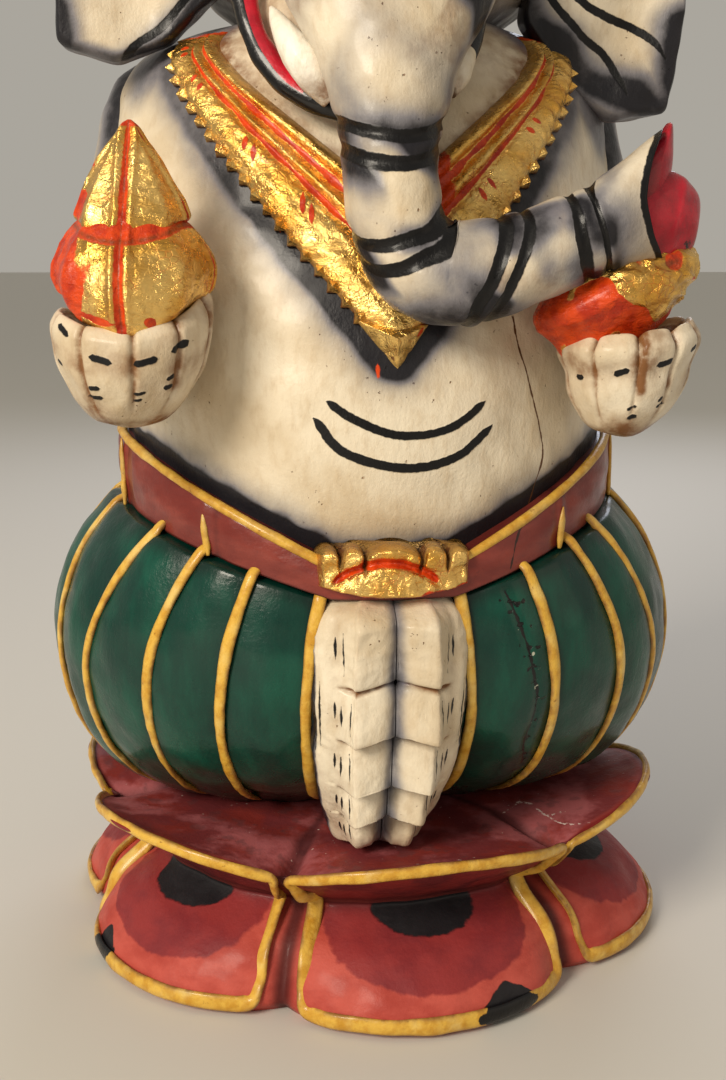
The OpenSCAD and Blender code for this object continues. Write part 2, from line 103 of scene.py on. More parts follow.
# Rows of radius, height, notch and dip up the outside of the lotus and over its top
lotus_rows = [
    (lotus_r - 3, 0, notch_depth, 0), (lotus_r, 4, notch_depth, 0),
    (lotus_r - 3, 11, notch_depth - 1, 0), (lotus_r - 12, 20, 8, 0), (waist_r + 1, 27, 4, 0),
    (waist_r, 30, 3, 0), (waist_r + 5, 35, 4, 3), (lotus_r - 10, lotus_h - 7, 7, 7),
    (lotus_r - 3, lotus_h - 1, 10, 9), (lotus_r - 5, lotus_h, 10, 9),
    (lotus_r - 14, lotus_h - 3, 6, 5), (lotus_r - 32, lotus_h - 6, 0, 0),
    (lotus_r - 62, lotus_h - 6.2, 0, 0), (3, lotus_h - 6.2, 0, 0)]
stripe_angles = [
    13, 29, 46, 60, 75, 94, 114, 134, 154, 174, -14, -29, -44, -62, -77, -96, -116, -136, -156]
ear_outline = [
    (44, 296), (60, 278), (75, 270.5), (92, 274), (94, 296), (93, 318), (89, 338), (79, 352),
    (66, 357), (52, 350), (46, 330)]

# ---- curves and surfaces


def sind(a):
    return np.sin(np.radians(a))


def cosd(a):
    return np.cos(np.radians(a))


def unit(v):
    return v / np.maximum(np.linalg.norm(v, axis=-1, keepdims=True), 1e-9)


def hollow_at_feet(a):
    """The trousers sink a little behind the feet."""
    return 3.5 * np.exp(-(sind(a) / 0.32) ** 4)


def smooth(rows, column, x):
    """A column of a table at x, on a smooth curve through its rows."""
    table = np.asarray(rows, float)
    xs, ys = table[:, 0], table[:, column]
    before = np.maximum(np.arange(len(xs)) - 1, 0)
    after = np.minimum(np.arange(len(xs)) + 1, len(xs) - 1)
    slope = (ys[after] - ys[before]) / (xs[after] - xs[before])
    x = np.asarray(x, float)
    i = np.clip(np.searchsorted(xs, x) - 1, 0, len(xs) - 2)
    h = xs[i + 1] - xs[i]
    s = (x - xs[i]) / h
    q = s * s * (3 - 2 * s)
    rise = slope[i] * s * (1 - s) ** 2 - slope[i + 1] * s * s * (1 - s)
    return ys[i] * (1 - q) + ys[i + 1] * q + h * rise


def point(x, y, z):
    return np.stack(np.broadcast_arrays(x, y, z), -1).astype(float)


def oval(a, side, front, back, z):
    return point(side * sind(a), -np.where(cosd(a) > 0, front, back) * cosd(a), z)


def torso_at(a, z, d=0.0):
    return oval(
        a, belly_r * smooth(torso_rows, 1, z) + d, belly_front * smooth(torso_rows, 2, z) + d,
        smooth(torso_rows, 3, z) + d, z)


def trousers_at(a, z, d=0.0):
    return oval(
        a, trousers_r * smooth(trousers_rows, 1, z) + d,
        smooth(trousers_rows, 2, z) + d - hollow_at_feet(a), smooth(trousers_rows, 3, z) + d, z)


def head_at(a, z, d=0.0):
    return oval(
        a, head_r * smooth(head_rows, 1, z) + d, smooth(head_rows, 2, z) + d,
        smooth(head_rows, 3, z) + d, z)


def turned(p, angle):
    """Points turned about the neck, as the head and the ears lean."""
    z = p[..., 2] - neck_z
    c, s = cosd(angle), sind(angle)
    return point(p[..., 0] * c + z * s, p[..., 1], neck_z + z * c - p[..., 0] * s)


def lean(p):
    return turned(p, head_tilt)


def about_axis(p, angle):
    """Points turned about the vertical."""
    c, s = cosd(angle), sind(angle)
    x, y = p[..., 0], p[..., 1]
    return point(x * c - y * s, x * s + y * c, p[..., 2])


def petal_u(a):
    """0 in the middle of a petal and 1 in the notch beside it."""
    m = (a - petal_turn) % petal_arc
    return np.minimum(m, petal_arc - m) / (petal_arc / 2)


def lotus_at(a, r, z, notch, dip=0.0):
    u = petal_u(a)
    q = r - notch * u ** 2.4
    return point(q * sind(a), -q * cosd(a), z - dip * u * u)


def stripe_angle(a, z):
    """The stripes in front draw together as they rise to the sash."""
    return a * (1 - 0.18 * np.clip((z - 82) / 60, 0, 1) ** 1.8) if abs(a) < 70 else a + 0 * z


def sash_rise(a):
    return np.where(cosd(a) > 0, np.maximum(0, np.abs(sind(a)) - 0.22) / 0.78, 1)


def sash_low(a):
    return 127.5 + 19 * sash_rise(a)


def sash_high(a):
    return 137 + 31 * sash_rise(a)


def collar_at(t, k, d=0.0):
    """A point of the necklace: t runs from shoulder to shoulder and k from its inner edge out."""
    across = np.abs(t)
    return torso_at(
        (46 + 13 * k) * t * (0.9 + 0.1 * across), 238 - 44 * k + (49 + 44 * k) * across, d)


def on_torso(x, z, d=0.0):
    """The point on the front of the body at this x and height."""
    side = belly_r * smooth(torso_rows, 1, z)
    return torso_at(np.degrees(np.arcsin(np.clip(x / side, -1, 1))), z, d)


def spline(points, steps=12, closed=False):
    """Points along a smooth curve through these."""
    p = np.asarray(points, float)
    if closed:
        p = np.vstack([p[-1:], p, p[:2]])
    else:
        p = np.vstack([2 * p[:1] - p[1:2], p, 2 * p[-1:] - p[-2:-1]])
    t = np.linspace(0, 1, steps, endpoint=False)[:, None]
    parts = [
        0.5 * (2 * b + (c - a) * t + (2 * a - 5 * b + 4 * c - d) * t ** 2
               + (3 * b - a - 3 * c + d) * t ** 3)
        for a, b, c, d in zip(p, p[1:], p[2:], p[3:])]
    return np.vstack(parts if closed else parts + [p[-2:-1]])


def bell(x, width):
    return np.exp(-(x / width) ** 2)


def rise(x, low, high):
    """0 below low, 1 above high and smooth between."""
    s = np.clip((x - low) / (high - low), 0, 1)
    return s * s * (3 - 2 * s)


def wobble(p, size, seed):
    """Smooth unevenness from about -1 to 1, with bumps of about this size."""
    rng = np.random.default_rng(seed)
    total = 0
    for _ in range(9):
        direction = unit(rng.normal(size=3))
        turns = rng.uniform(0.5, 1.5) / (2 * size)
        total = total + np.sin(2 * np.pi * (p @ direction * turns + rng.uniform()))
    return total / 3.2


def knife(p, size, seed):
    """Shallow flats and soft ridges, as a carving knife leaves them, from 0 to 1."""
    return 1 - np.abs(wobble(p, size, seed))


def normals(p, around=True):
    """Outward directions of a grid of rings that run anticlockwise about their travel."""
    if around:
        across = np.roll(p, -1, 1) - np.roll(p, 1, 1)
    else:
        across = np.gradient(p, axis=1)
    return unit(np.cross(across, np.gradient(p, axis=0)))


def carve(p, depth, size, seed, around=True):
    """A grid of points with the unevenness of hand carving."""
    uneven = depth * (0.6 * wobble(p, size, seed) + 0.4 * wobble(p, size / 3, seed + 1))
    return p + normals(p, around) * uneven[..., None]


def shaken(p, amount, size, seed):
    """Points moved a little, by smooth unevenness with bumps of about this size."""
    return p + amount * wobble(p, size, seed)[..., None]


def rings_along(path, across, deep, sides, facing, closed=False):
    """Rings along a path: `across` is the half size towards `facing`, and `deep` the other way."""
    path = np.asarray(path, float)
    if closed:
        travel = np.roll(path, -1, 0) - np.roll(path, 1, 0)
    else:
        travel = np.gradient(path, axis=0)
    travel = unit(travel)
    facing = np.broadcast_to(np.asarray(facing, float), path.shape)
    u = unit(facing - (facing * travel).sum(1, keepdims=True) * travel)
    w = np.cross(travel, u)
    turn = np.arange(sides) * 360 / sides
    across = np.broadcast_to(across, (len(path),))[:, None, None]
    deep = np.broadcast_to(deep, (len(path),))[:, None, None]
    return (path[:, None] + across * cosd(turn)[None, :, None] * u[:, None]
            + deep * sind(turn)[None, :, None] * w[:, None])


def away(p, path):
    """Each point's distance from a path, how far along it lies, 0 to 1, and on which side."""
    shape = p.shape[:-1]
    p = p.reshape(-1, 3)
    path = np.asarray(path, float)
    best, share, side = np.full(len(p), 40.0), np.zeros(len(p)), np.ones(len(p))
    near = np.all((p > path.min(0) - 15) & (p < path.max(0) + 15), axis=1)
    q = p[near]
    d_near, s_near, side_near = best[near], share[near], side[near]
    for i, (a, b) in enumerate(zip(path, path[1:])):
        step = b - a
        t = np.clip((q - a) @ step / max(step @ step, 1e-9), 0, 1)
        d = np.linalg.norm(q - a - t[:, None] * step, axis=1)
        closer = d < d_near
        d_near[closer] = d[closer]
        s_near[closer] = (i + t[closer]) / (len(path) - 1)
        turn = np.cross(q[closer] - a, step)
        side_near[closer] = np.sign((turn[:, :2] * q[closer, :2]).sum(1))
    best[near], share[near], side[near] = d_near, s_near, side_near
    return best.reshape(shape), share.reshape(shape), side.reshape(shape)


def onto(p, path):
    """A path moved smoothly onto the nearest points of a surface, where those are near."""
    flat = p.reshape(-1, 3)
    path = np.asarray(path, float)
    move = np.array([flat[((flat - q) ** 2).sum(1).argmin()] - q for q in path])
    move[np.linalg.norm(move, axis=1) > 8] = 0
    padded = np.concatenate([move[:1], move[:1], move, move[-1:], move[-1:]])
    return path + sum(padded[i:i + len(move)] for i in range(5)) / 5


def stroke(p, path, width, taper=0.3):
    """How deep each point lies inside a brush stroke with pointed ends."""
    d, s, _ = away(p, onto(p, path))
    return width / 2 * np.clip(np.minimum(s, 1 - s) / taper, 0.08, 1) ** 0.6 - d


def layer(*depths):
    """A painted layer: EDGE at the edge of a stroke, and more inside it."""
    inside = depths[0]
    for d in depths[1:]:
        inside = np.maximum(inside, d)
    return np.clip(EDGE + inside, 0, 2 * EDGE)


def split(p, path):
    """Layers from which a hair-thin drying crack can be drawn along a path."""
    d, s, side = away(p, onto(p, path))
    return {"split": 10 + np.clip(side * d, -6, 6), "split_on": ((s > 0) & (s < 1)) * 1.0}


# ---- meshes


def solid(p, closed=False, around=True, **layers):
    """A grid of rings as a closed form: its points, its faces and its painted layers."""
    rows, columns = p.shape[:2]
    index = np.arange(rows * columns).reshape(rows, columns)
    if around:
        index = np.hstack([index, index[:, :1]])
    if closed:
        index = np.vstack([index, index[:1]])
    quads = np.stack([index[:-1, :-1], index[:-1, 1:], index[1:, 1:], index[1:, :-1]], -1)
    faces = quads.reshape(-1, 4).tolist()
    if around and not closed:
        faces += [list(range(columns))[::-1], list(range((rows - 1) * columns, rows * columns))]
    flat = {k: np.broadcast_to(v, (rows, columns)).reshape(-1) for k, v in layers.items()}
    return p.reshape(-1, 3), faces, flat


def joined(forms):
    """Several forms as one."""
    names = sorted({k for form in forms for k in form[2]})
    points, faces, start = [], [], 0
    layers = {k: [] for k in names}
    for p, f, flat in forms:
        points.append(p)
        faces += [[i + start for i in face] for face in f]
        for k in names:
            layers[k].append(flat.get(k, np.zeros(len(p))))
        start += len(p)
    return np.vstack(points), faces, {k: np.concatenate(v) for k, v in layers.items()}


def make(name, form, paint, slot, *nodes, flat=False):
    """One piece of the statue, in place of the CAD nodes that it stands for."""
    p, faces, layers = form
    mesh = bpy.data.meshes.new(name)
    mesh.from_pydata((p * MM).tolist(), [], faces)
    for key, values in layers.items():
        attribute = mesh.attributes.new(key, "FLOAT", "POINT")
        attribute.data.foreach_set("value", np.asarray(values, np.float32))
    if flat:
        mesh.shade_flat()
    else:
        mesh.shade_smooth()
    mesh.materials.append(paint)
    mesh.update()
    piece = bpy.data.objects.new(name, mesh)
    bpy.context.scene.collection.objects.link(piece)
    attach(piece, "root")
    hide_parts(*nodes)
    return piece


# ---- paint


def linear(rgb):
    """An sRGB colour from 0 to 255 as the linear one that Blender mixes."""
    c = np.asarray(rgb, float) / 255
    c = np.where(c <= 0.04045, c / 12.92, ((c + 0.055) / 1.055) ** 2.4)
    return (*c, 1.0)


class Paint:
    """A material built up in layers, as the statue's own paint is."""

    def __init__(self, name):
        self.material = bpy.data.materials.new(name)
        self.material.use_nodes = True
        self.tree = self.material.node_tree
        self.shader = self.tree.nodes["Principled BSDF"]
        self.place = self.add("ShaderNodeTexCoord").outputs["Object"]

    def add(self, kind, **settings):
        node = self.tree.nodes.new(kind)
        for key, value in settings.items():
            setattr(node, key, value)
        return node

    def feed(self, socket, value):
        if isinstance(value, bpy.types.NodeSocket):
            self.tree.links.new(value, socket)
        elif isinstance(value, tuple) and socket.type == "RGBA":
            socket.default_value = linear(value)
        else:
            socket.default_value = value

    def noise(self, size, detail=4.0, roughness=0.55, stretch=(1, 1, 1), warp=0.0):
        """Cloudy variation from 0 to 1, with features of about this size."""
        mapping = self.add("ShaderNodeMapping")
        self.feed(mapping.inputs["Vector"], self.place)
        mapping.inputs["Scale"].default_value = stretch
        node = self.add("ShaderNodeTexNoise")
        self.feed(node.inputs["Vector"], mapping.outputs["Vector"])
        node.inputs["Scale"].default_value = 1 / (size * MM)
        node.inputs["Detail"].default_value = detail
        node.inputs["Roughness"].default_value = roughness
        node.inputs["Distortion"].default_value = warp
        return node.outputs["Fac"]

    def cracks(self, size, warp=0.35):
        """Distance from the nearest crack of a crackled surface."""
        bend = self.add("ShaderNodeTexNoise")
        self.feed(bend.inputs["Vector"], self.place)
        bend.inputs["Scale"].default_value = 1 / (size * MM)
        moved = self.add("ShaderNodeVectorMath", operation="MULTIPLY_ADD")
        self.feed(moved.inputs[0], bend.outputs["Color"])
        moved.inputs[1].default_value = (warp * size * MM,) * 3
        self.feed(moved.inputs[2], self.place)
        node = self.add("ShaderNodeTexVoronoi", feature="DISTANCE_TO_EDGE")
        self.feed(node.inputs["Vector"], moved.outputs["Vector"])
        node.inputs["Scale"].default_value = 1 / (size * MM)
        return node.outputs["Distance"]

    def layer(self, name):
        node = self.add("ShaderNodeAttribute", attribute_type="GEOMETRY", attribute_name=name)
        return node.outputs["Fac"]

    def sum(self, a, b, operation="ADD"):
        node = self.add("ShaderNodeMath", operation=operation)
        self.feed(node.inputs[0], a)
        self.feed(node.inputs[1], b)
        return node.outputs["Value"]

    def times(self, a, b):
        return self.sum(a, b, "MULTIPLY")

    def between(self, value, low, high, start=0.0, end=1.0):
        node = self.add("ShaderNodeMapRange", interpolation_type="SMOOTHSTEP")
        for key, v in (("Value", value), ("From Min", low), ("From Max", high),
                       ("To Min", start), ("To Max", end)):
            self.feed(node.inputs[key], v)
        return node.outputs["Result"]

    def mix(self, share, under, over):
        node = self.add("ShaderNodeMix", data_type="RGBA")
        self.feed(node.inputs["Factor"], share)
        self.feed(node.inputs[6], under)
        self.feed(node.inputs[7], over)
        return node.outputs[2]

    def stain(self, name, share, under, over):
        """A softly painted amount of one colour over another."""
        return self.mix(self.between(self.layer(name), 0, 1, 0, share), under, over)

    def cloud(self, size, low, high, start=0.0, end=1.0, detail=4.0):
        """Cloudy variation, steepened between low and high."""
        return self.between(self.noise(size, detail), low, high, start, end)

    def painted(self, name, soft=0.2, ragged=0.5, bristle=1.6):
        """Where a painted layer lies, with the slightly ragged edge that a brush leaves."""
        uneven = self.between(self.noise(bristle, 3), 0, 1, -ragged, ragged)
        return self.between(self.sum(self.layer(name), uneven), EDGE - soft, EDGE + soft)

    def varnish(self, colour, roughness, height, metallic=None, coat=0.4, depth=0.4):
        """Joins the layers to the shader, under a coat of varnish."""
        self.feed(self.shader.inputs["Base Color"], colour)
        self.feed(self.shader.inputs["Roughness"], roughness)
        if metallic is not None:
            self.feed(self.shader.inputs["Metallic"], metallic)
        bump = self.add("ShaderNodeBump")
        bump.inputs["Distance"].default_value = depth * MM
        self.feed(bump.inputs["Height"], height)
        self.feed(self.shader.inputs["Normal"], bump.outputs["Normal"])
        self.shader.inputs["Specular IOR Level"].default_value = 0.22
        self.shader.inputs["Coat Weight"].default_value = coat
        self.shader.inputs["Coat Roughness"].default_value = 0.16
        return self.material


# Colours are sRGB, from 0 to 255
BLACK = (10, 9, 11)
BROWN = (126, 84, 48)
VERMILION = (214, 70, 18)
GOLD = (244, 204, 122)
# Airbrush colours, which also lay painted shade and shadow
SPRAY_AND_SHADE_THIN = (98, 100, 114)
SPRAY_AND_SHADE_DENSE = (22, 21, 27)


def antique_and_shade(paint, colour, share=1.0):
    """Brown glaze that was wiped into the hollows and left in streaks, and the same brown laid as
    painted shade where a piece's layer marks shade.
    """
    streaks = paint.between(paint.noise(5, 5, 0.6), 0.25, 0.7)
    hollow_and_shade = paint.times(paint.layer("glaze"), paint.sum(0.45, streaks))
    return paint.mix(paint.between(hollow_and_shade, 0, 1, 0, share), colour, BROWN)


def line_work(paint, colour):
    """The airbrushed shading, which in places is painted shade and shadow, then the black brush
    strokes, then the vermilion ones.
    """
    cloud = paint.between(paint.noise(7, 5, 0.6), 0.2, 0.8, 0.85, 1.12)
    haze = paint.times(paint.layer("haze"), cloud)
    colour = paint.mix(paint.between(haze, 0, 0.62, 0, 0.88), colour, SPRAY_AND_SHADE_THIN)
    colour = paint.mix(paint.between(haze, 0.5, 0.9, 0, 0.97), colour, SPRAY_AND_SHADE_DENSE)
    colour = crack(paint, colour, 0.26, (92, 58, 30))
    colour = paint.mix(paint.painted("ink", 0.16, 0.22), colour, BLACK)
    return paint.mix(paint.painted("red", 0.2, 0.4), colour, VERMILION)


def crack(paint, colour, half_width, dark):
    """A drying crack, which widens and narrows along its way."""
    off = paint.sum(paint.sum(paint.layer("split"), -10.0), 0.0, "ABSOLUTE")
    uneven = paint.cloud(3.5, 0.3, 0.7, -0.6 * half_width, 0.6 * half_width, detail=3)
    line = paint.between(paint.sum(off, uneven), half_width + 0.12, half_width - 0.08)
    return paint.mix(paint.times(line, paint.layer("split_on")), colour, dark)


def cream_paint(name="cream_paint", pale=(229, 217, 194), warm=(206, 188, 158)):
    """Pale paste with brown glaze in its hollows, and black and red lines over it."""
    paint = Paint(name)
    colour = paint.mix(paint.cloud(34, 0.36, 0.66), pale, warm)
    brush = paint.noise(3.2, 5, 0.62, (1, 1, 0.45))
    colour = paint.mix(paint.between(brush, 0.44, 0.76, 0, 0.38), colour, (184, 158, 120))
    pits = paint.times(
        paint.cloud(1.5, 0.70, 0.76, detail=2), paint.cloud(17, 0.5, 0.6))
    colour = paint.mix(pits, colour, (134, 98, 64))
    colour = antique_and_shade(paint, colour)
    colour = line_work(paint, colour)
    ink = paint.painted("ink", 0.3, 0.2)
    height = paint.sum(paint.sum(brush, paint.times(paint.noise(0.9, 3, 0.6), 0.35)),
                       paint.times(ink, 0.5))
    height = paint.sum(height, paint.times(pits, -0.9))
    roughness = paint.cloud(9, 0.3, 0.7, 0.34, 0.56)
    return paint.varnish(colour, roughness, height, coat=0.18, depth=0.4)


def gold_leaf(name="gold_leaf"):
    """Gold leaf laid over vermilion size: crinkled, crackled, and rubbed through in places."""
    paint = Paint(name)
    crinkle = paint.noise(5.5, 5, 0.6, (1, 1, 1.8), 1.2)
    fine_grain = paint.noise(1.6, 3, 0.5)
    leaf = paint.mix(paint.cloud(13, 0.35, 0.68), GOLD, (222, 166, 70))
    # Darker leaf on the crinkles is painted shade of the crumpled leaf
    leaf = paint.mix(paint.between(crinkle, 0.5, 0.8, 0, 0.5), leaf, (160, 116, 50))
    crackle = paint.cracks(2.2)
    patches = paint.cloud(10, 0.52, 0.66, 0.0, 0.5, detail=3)
    fine = paint.times(paint.between(crackle, 0.05, 0.02), patches)
    rubbed = paint.between(paint.noise(4.5, 6, 0.68), 0.70, 0.725, 0, 0.9)
    bare = paint.sum(fine, rubbed, "MAXIMUM")
    bare = paint.sum(bare, paint.painted("red", 0.14, 0.24, 1.2), "MAXIMUM")
    red = paint.mix(paint.cloud(5, 0.4, 0.68), VERMILION, (176, 44, 14))
    colour = paint.mix(bare, leaf, red)
    # Brown in the hollows is glaze; on the lower facets of the necklace points it is painted shade
    hollow_and_shade = paint.times(paint.layer("glaze"), paint.cloud(3, 0.3, 0.6, 0.6, 1.1))
    hollow_and_shade = paint.between(hollow_and_shade, 0, 1)
    colour = paint.mix(hollow_and_shade, colour, (98, 58, 28))
    ink = paint.painted("ink", 0.2, 0.3)
    colour = paint.mix(ink, colour, BLACK)
    dull = paint.sum(paint.sum(bare, hollow_and_shade, "MAXIMUM"), ink, "MAXIMUM")
    metallic = paint.between(dull, 0, 1, 0.96, 0)
    roughness = paint.cloud(4.5, 0.3, 0.7, 0.2, 0.4)
    height = paint.sum(crinkle, paint.times(fine_grain, 0.16))
    height = paint.sum(height, paint.between(crackle, 0, 0.1, 0, 0.05))
    height = paint.sum(height, paint.times(bare, -0.12))
    return paint.varnish(colour, roughness, height, metallic, coat=0.2, depth=0.9)


def green_paint():
    """Deep green, thin in places, that has cracked with the wood."""
    paint = Paint("green_paint")
    sweep = paint.noise(11, 5, 0.6, (1, 1, 0.3))
    colour = paint.mix(paint.between(sweep, 0.35, 0.68), (2, 54, 44), (6, 76, 60))
    colour = paint.mix(paint.cloud(30, 0.42, 0.7, 0, 0.6, detail=3), colour, (2, 38, 34))
    thin = paint.between(paint.noise(5, 6, 0.7), 0.68, 0.8, 0, 0.3)
    colour = paint.mix(thin, colour, (50, 112, 94))
    # Dark green laid from the layer: paint along the stripes, painted shade under the sash, and
    # darker towards the bottom
    colour = paint.stain("glaze", 0.75, colour, (6, 24, 20))
    colour = crack(paint, colour, 0.4, (12, 12, 12))
    colour = paint.mix(paint.painted("ink", 0.15, 0.5, 1.4), colour, (14, 14, 14))
    colour = paint.mix(paint.painted("pale", 0.15, 0.6, 1.0), colour, (176, 178, 160))
    height = paint.sum(sweep, paint.times(paint.noise(1.3, 4, 0.6), 0.35))
    height = paint.sum(height, paint.times(paint.painted("ink", 0.3, 0.4), -1.0))
    roughness = paint.cloud(6, 0.3, 0.7, 0.26, 0.42)
    return paint.varnish(colour, roughness, height, coat=0.35, depth=0.5)


def yellow_paint():
    """Thick yellow dabs over brown."""
    paint = Paint("yellow_paint")
    dabs = paint.noise(4.5, 5, 0.6)
    colour = paint.mix(paint.between(dabs, 0.38, 0.66), (220, 176, 72), (196, 144, 44))
    colour = paint.mix(paint.cloud(11, 0.5, 0.72, 0, 0.7), colour, (230, 202, 124))
    stain = paint.between(paint.noise(2.4, 5, 0.7), 0.62, 0.72, 0, 0.75)
    colour = paint.mix(stain, colour, (128, 82, 32))
    colour = antique_and_shade(paint, colour, 0.85)
    colour = paint.mix(paint.painted("ink", 0.2, 0.4), colour, BLACK)
    height = paint.sum(dabs, paint.times(paint.noise(1.1, 3), 0.4))
    roughness = paint.cloud(5, 0.3, 0.7, 0.32, 0.5, detail=3)
    return paint.varnish(colour, roughness, height, coat=0.3, depth=0.4)


def maroon_paint():
    """Maroon, brushed level, with darker stains."""
    paint = Paint("maroon_paint")
    sweep = paint.noise(8, 4, 0.55, (0.5, 0.5, 1.2))
    colour = paint.mix(paint.between(sweep, 0.35, 0.7), (110, 40, 34), (134, 56, 46))
    stain = paint.between(paint.noise(3, 5, 0.7), 0.6, 0.75, 0, 0.5)
    colour = paint.mix(stain, colour, (84, 30, 28))
    colour = paint.stain("glaze", 0.85, colour, (50, 18, 18))
    colour = crack(paint, colour, 0.3, (40, 18, 14))
    height = paint.sum(sweep, paint.times(paint.noise(1.4, 4), 0.35))
    roughness = paint.cloud(6, 0.3, 0.7, 0.3, 0.46, detail=3)
    return paint.varnish(colour, roughness, height, coat=0.4, depth=0.4)


def lotus_paint():
    """Salmon petals with a darker heart, dark red lips, painted shade in the waist crease, and a
    stained, rubbed top with a painted highlight near the trousers.
    """
    paint = Paint("lotus_paint")
    sweep = paint.noise(9, 5, 0.6, (0.6, 0.6, 1.2))
    salmon = paint.mix(paint.between(sweep, 0.35, 0.68), (190, 84, 72), (168, 64, 54))
    heart = paint.mix(paint.between(sweep, 0.35, 0.7), (144, 50, 50), (124, 42, 46))
    colour = paint.mix(paint.painted("heart", 0.35, 0.8, 6), salmon, heart)
    lip = paint.mix(paint.cloud(14, 0.4, 0.65), (128, 40, 38), (96, 28, 32))
    colour = paint.mix(paint.layer("lip"), colour, lip)
    blotches = paint.between(paint.noise(16, 5, 0.6), 0.42, 0.6)
    top = paint.mix(blotches, (122, 50, 52), (138, 50, 44))
    # Pink rubbed wear on the top; raised near the trousers' hem it is a painted highlight, and
    # near the notches it is wear
    worn = paint.sum(paint.noise(18, 5, 0.62), paint.times(paint.layer("worn"), 0.12))
    rub_and_highlight = paint.between(worn, 0.5, 0.7, 0, 0.75)
    top = paint.mix(rub_and_highlight, top, (180, 102, 106))
    top = paint.mix(paint.cloud(8, 0.56, 0.66, 0, 0.5), top, (98, 62, 66))
    colour = paint.mix(paint.layer("top"), colour, top)
    # Dark red from the layer: stain in the notches and round the trousers, painted shade in the
    # waist crease
    colour = paint.stain("glaze", 0.85, colour, (56, 20, 22))
    specks = paint.times(paint.cloud(1.8, 0.71, 0.75, detail=3),
                         paint.times(paint.layer("top"), 0.9))
    colour = paint.mix(specks, colour, (226, 206, 196))
    ink = paint.painted("ink", 0.25, 0.5, 3)
    colour = paint.mix(ink, colour, paint.mix(paint.noise(3, 4), (38, 36, 40), (22, 20, 22)))
    colour = paint.mix(paint.painted("pale", 0.12, 0.5, 0.9), colour, (214, 190, 184))
    height = paint.sum(sweep, paint.times(paint.noise(1.5, 4, 0.6), 0.4))
    height = paint.sum(height, paint.times(ink, -0.4))
    roughness = paint.cloud(7, 0.3, 0.7, 0.44, 0.64)
    return paint.varnish(colour, roughness, height, coat=0.06, depth=0.45)


def red_paint(name, bright, deep):
    """Glossy red, with painted shade where its layer marks a recess or a crease."""
    paint = Paint(name)
    sweep = paint.noise(7, 4, 0.55)
    colour = paint.mix(paint.between(sweep, 0.35, 0.68), bright, deep)
    # Painted shade: darker red where the layer marks a recess or a crease
    colour = paint.mix(paint.between(paint.layer("deep"), 0, 1), colour, (112, 12, 22))
    colour = paint.stain("glaze", 0.8, colour, (70, 14, 16))
    colour = paint.mix(paint.painted("ink", 0.15, 0.3, 1.0), colour, BLACK)
    height = paint.sum(sweep, paint.times(paint.noise(1.2, 3), 0.5))
    roughness = paint.cloud(6, 0.3, 0.7, 0.26, 0.42, detail=3)
    return paint.varnish(colour, roughness, height, coat=0.5, depth=0.4)


CREAM = cream_paint()
TOOTH = cream_paint("tusk_white", (244, 240, 228), (226, 212, 186))
GILT = gold_leaf()
GREEN = green_paint()
YELLOW = yellow_paint()
MAROON = maroon_paint()
LOTUS = lotus_paint()
LIP_RED = red_paint("lip_red", (198, 30, 50), (158, 20, 38))

# ---- lotus


def foot_chips(p):
    """The two black patches where the foot of a petal is chipped and painted over."""
    return [stroke(p, path, 15, 0.5) for path in (
        [(25, -99, 4.5), (43, -90, 4.5)], [(-93, -42, 4), (-87, -53, 6)])]


def lotus_pedestal():
    """Six petals that flare below and above a waist, with dark hearts, painted shade in the waist
    crease and a rubbed top with a painted highlight near the trousers' hem.
    """
    rows = [(i, *row) for i, row in enumerate(lotus_rows)]
    t = np.concatenate([np.linspace(0, 11, 170), np.linspace(11, 13, 14)[1:]])[:, None]
    a = np.arange(0, 360, 0.6)[None, :] + 0 * t
    r, z, notch, dip = (smooth(rows, k, t) for k in (1, 2, 3, 4))
    u = petal_u(a)
    p = lotus_at(a, r, np.maximum(z, 0), notch, dip)
    outward = point(sind(a), -cosd(a), 0)
    seam = bell(1 - u, 0.06) * rise(t, 5.5, 8) * (1 - rise(t, 11.2, 12))
    p = p - outward * (2.2 * seam * (1 - rise(t, 8.5, 9.5)))[..., None]
    rim = rise(t, 8.5, 9.5) * (1 - rise(t, 10.6, 11.6))
    p[..., 2] -= (3.4 * seam + 1.6 * bell(1 - u, 0.2)) * rim
    uneven = 0.8 * wobble(p, 19, 1) + 0.3 * wobble(p, 6, 2)
    body = rise(t, 0.3, 1.2) * (1 - rise(t, 11, 12))
    p = p + outward * (uneven * body)[..., None]
    p[..., 2] = np.maximum(p[..., 2], 0)
    half = (a - petal_turn + petal_arc / 2) % petal_arc / (petal_arc / 2) - 1
    down = 28.0 - p[..., 2]
    inside = t < 4.9
    moon = np.where(inside, 7.5 * (1 - np.hypot(half / 0.42, down / 5.2)), -9.0)
    heart = np.where(inside, 13 * (1 - np.hypot(half / 0.78, down / 16)), -9.0)
    chips = foot_chips(p)
    scratches = [
        stroke(p, spline([(40, -47, 46), (50, -40, 46), (54, -52, 46), (62, -49, 47)], 6), 0.8),
        stroke(p, spline([(54, -52, 46), (58, -58, 47), (66, -62, 49)], 6), 0.7)]
    top = rise(t, 8.9, 9.5)
    lip = rise(t, 4.9, 5.4) * (1 - top)
    # Dark red in the notches and on the top round the trousers is stain; in the crease at the
    # waist it is painted shade
    glaze = np.clip(bell(1 - u, 0.07) * (1 - 0.3 * top) + 0.9 * bell(t - 5, 0.7)
                    + 0.45 * top * bell(t - 11.2, 0.25), 0, 1)
    # The pink rub on the top is raised near the trousers' hem as a painted highlight and near the
    # notches as wear
    form = solid(
        p, ink=layer(moon, *chips), heart=layer(heart), pale=layer(*scratches),
        top=top, lip=lip, glaze=glaze, worn=bell(t - 10.8, 0.45) + 0.6 * bell(1 - u, 0.2))
    make("painted_lotus", form, LOTUS, "lotus_paint", "lotus_pedestal")


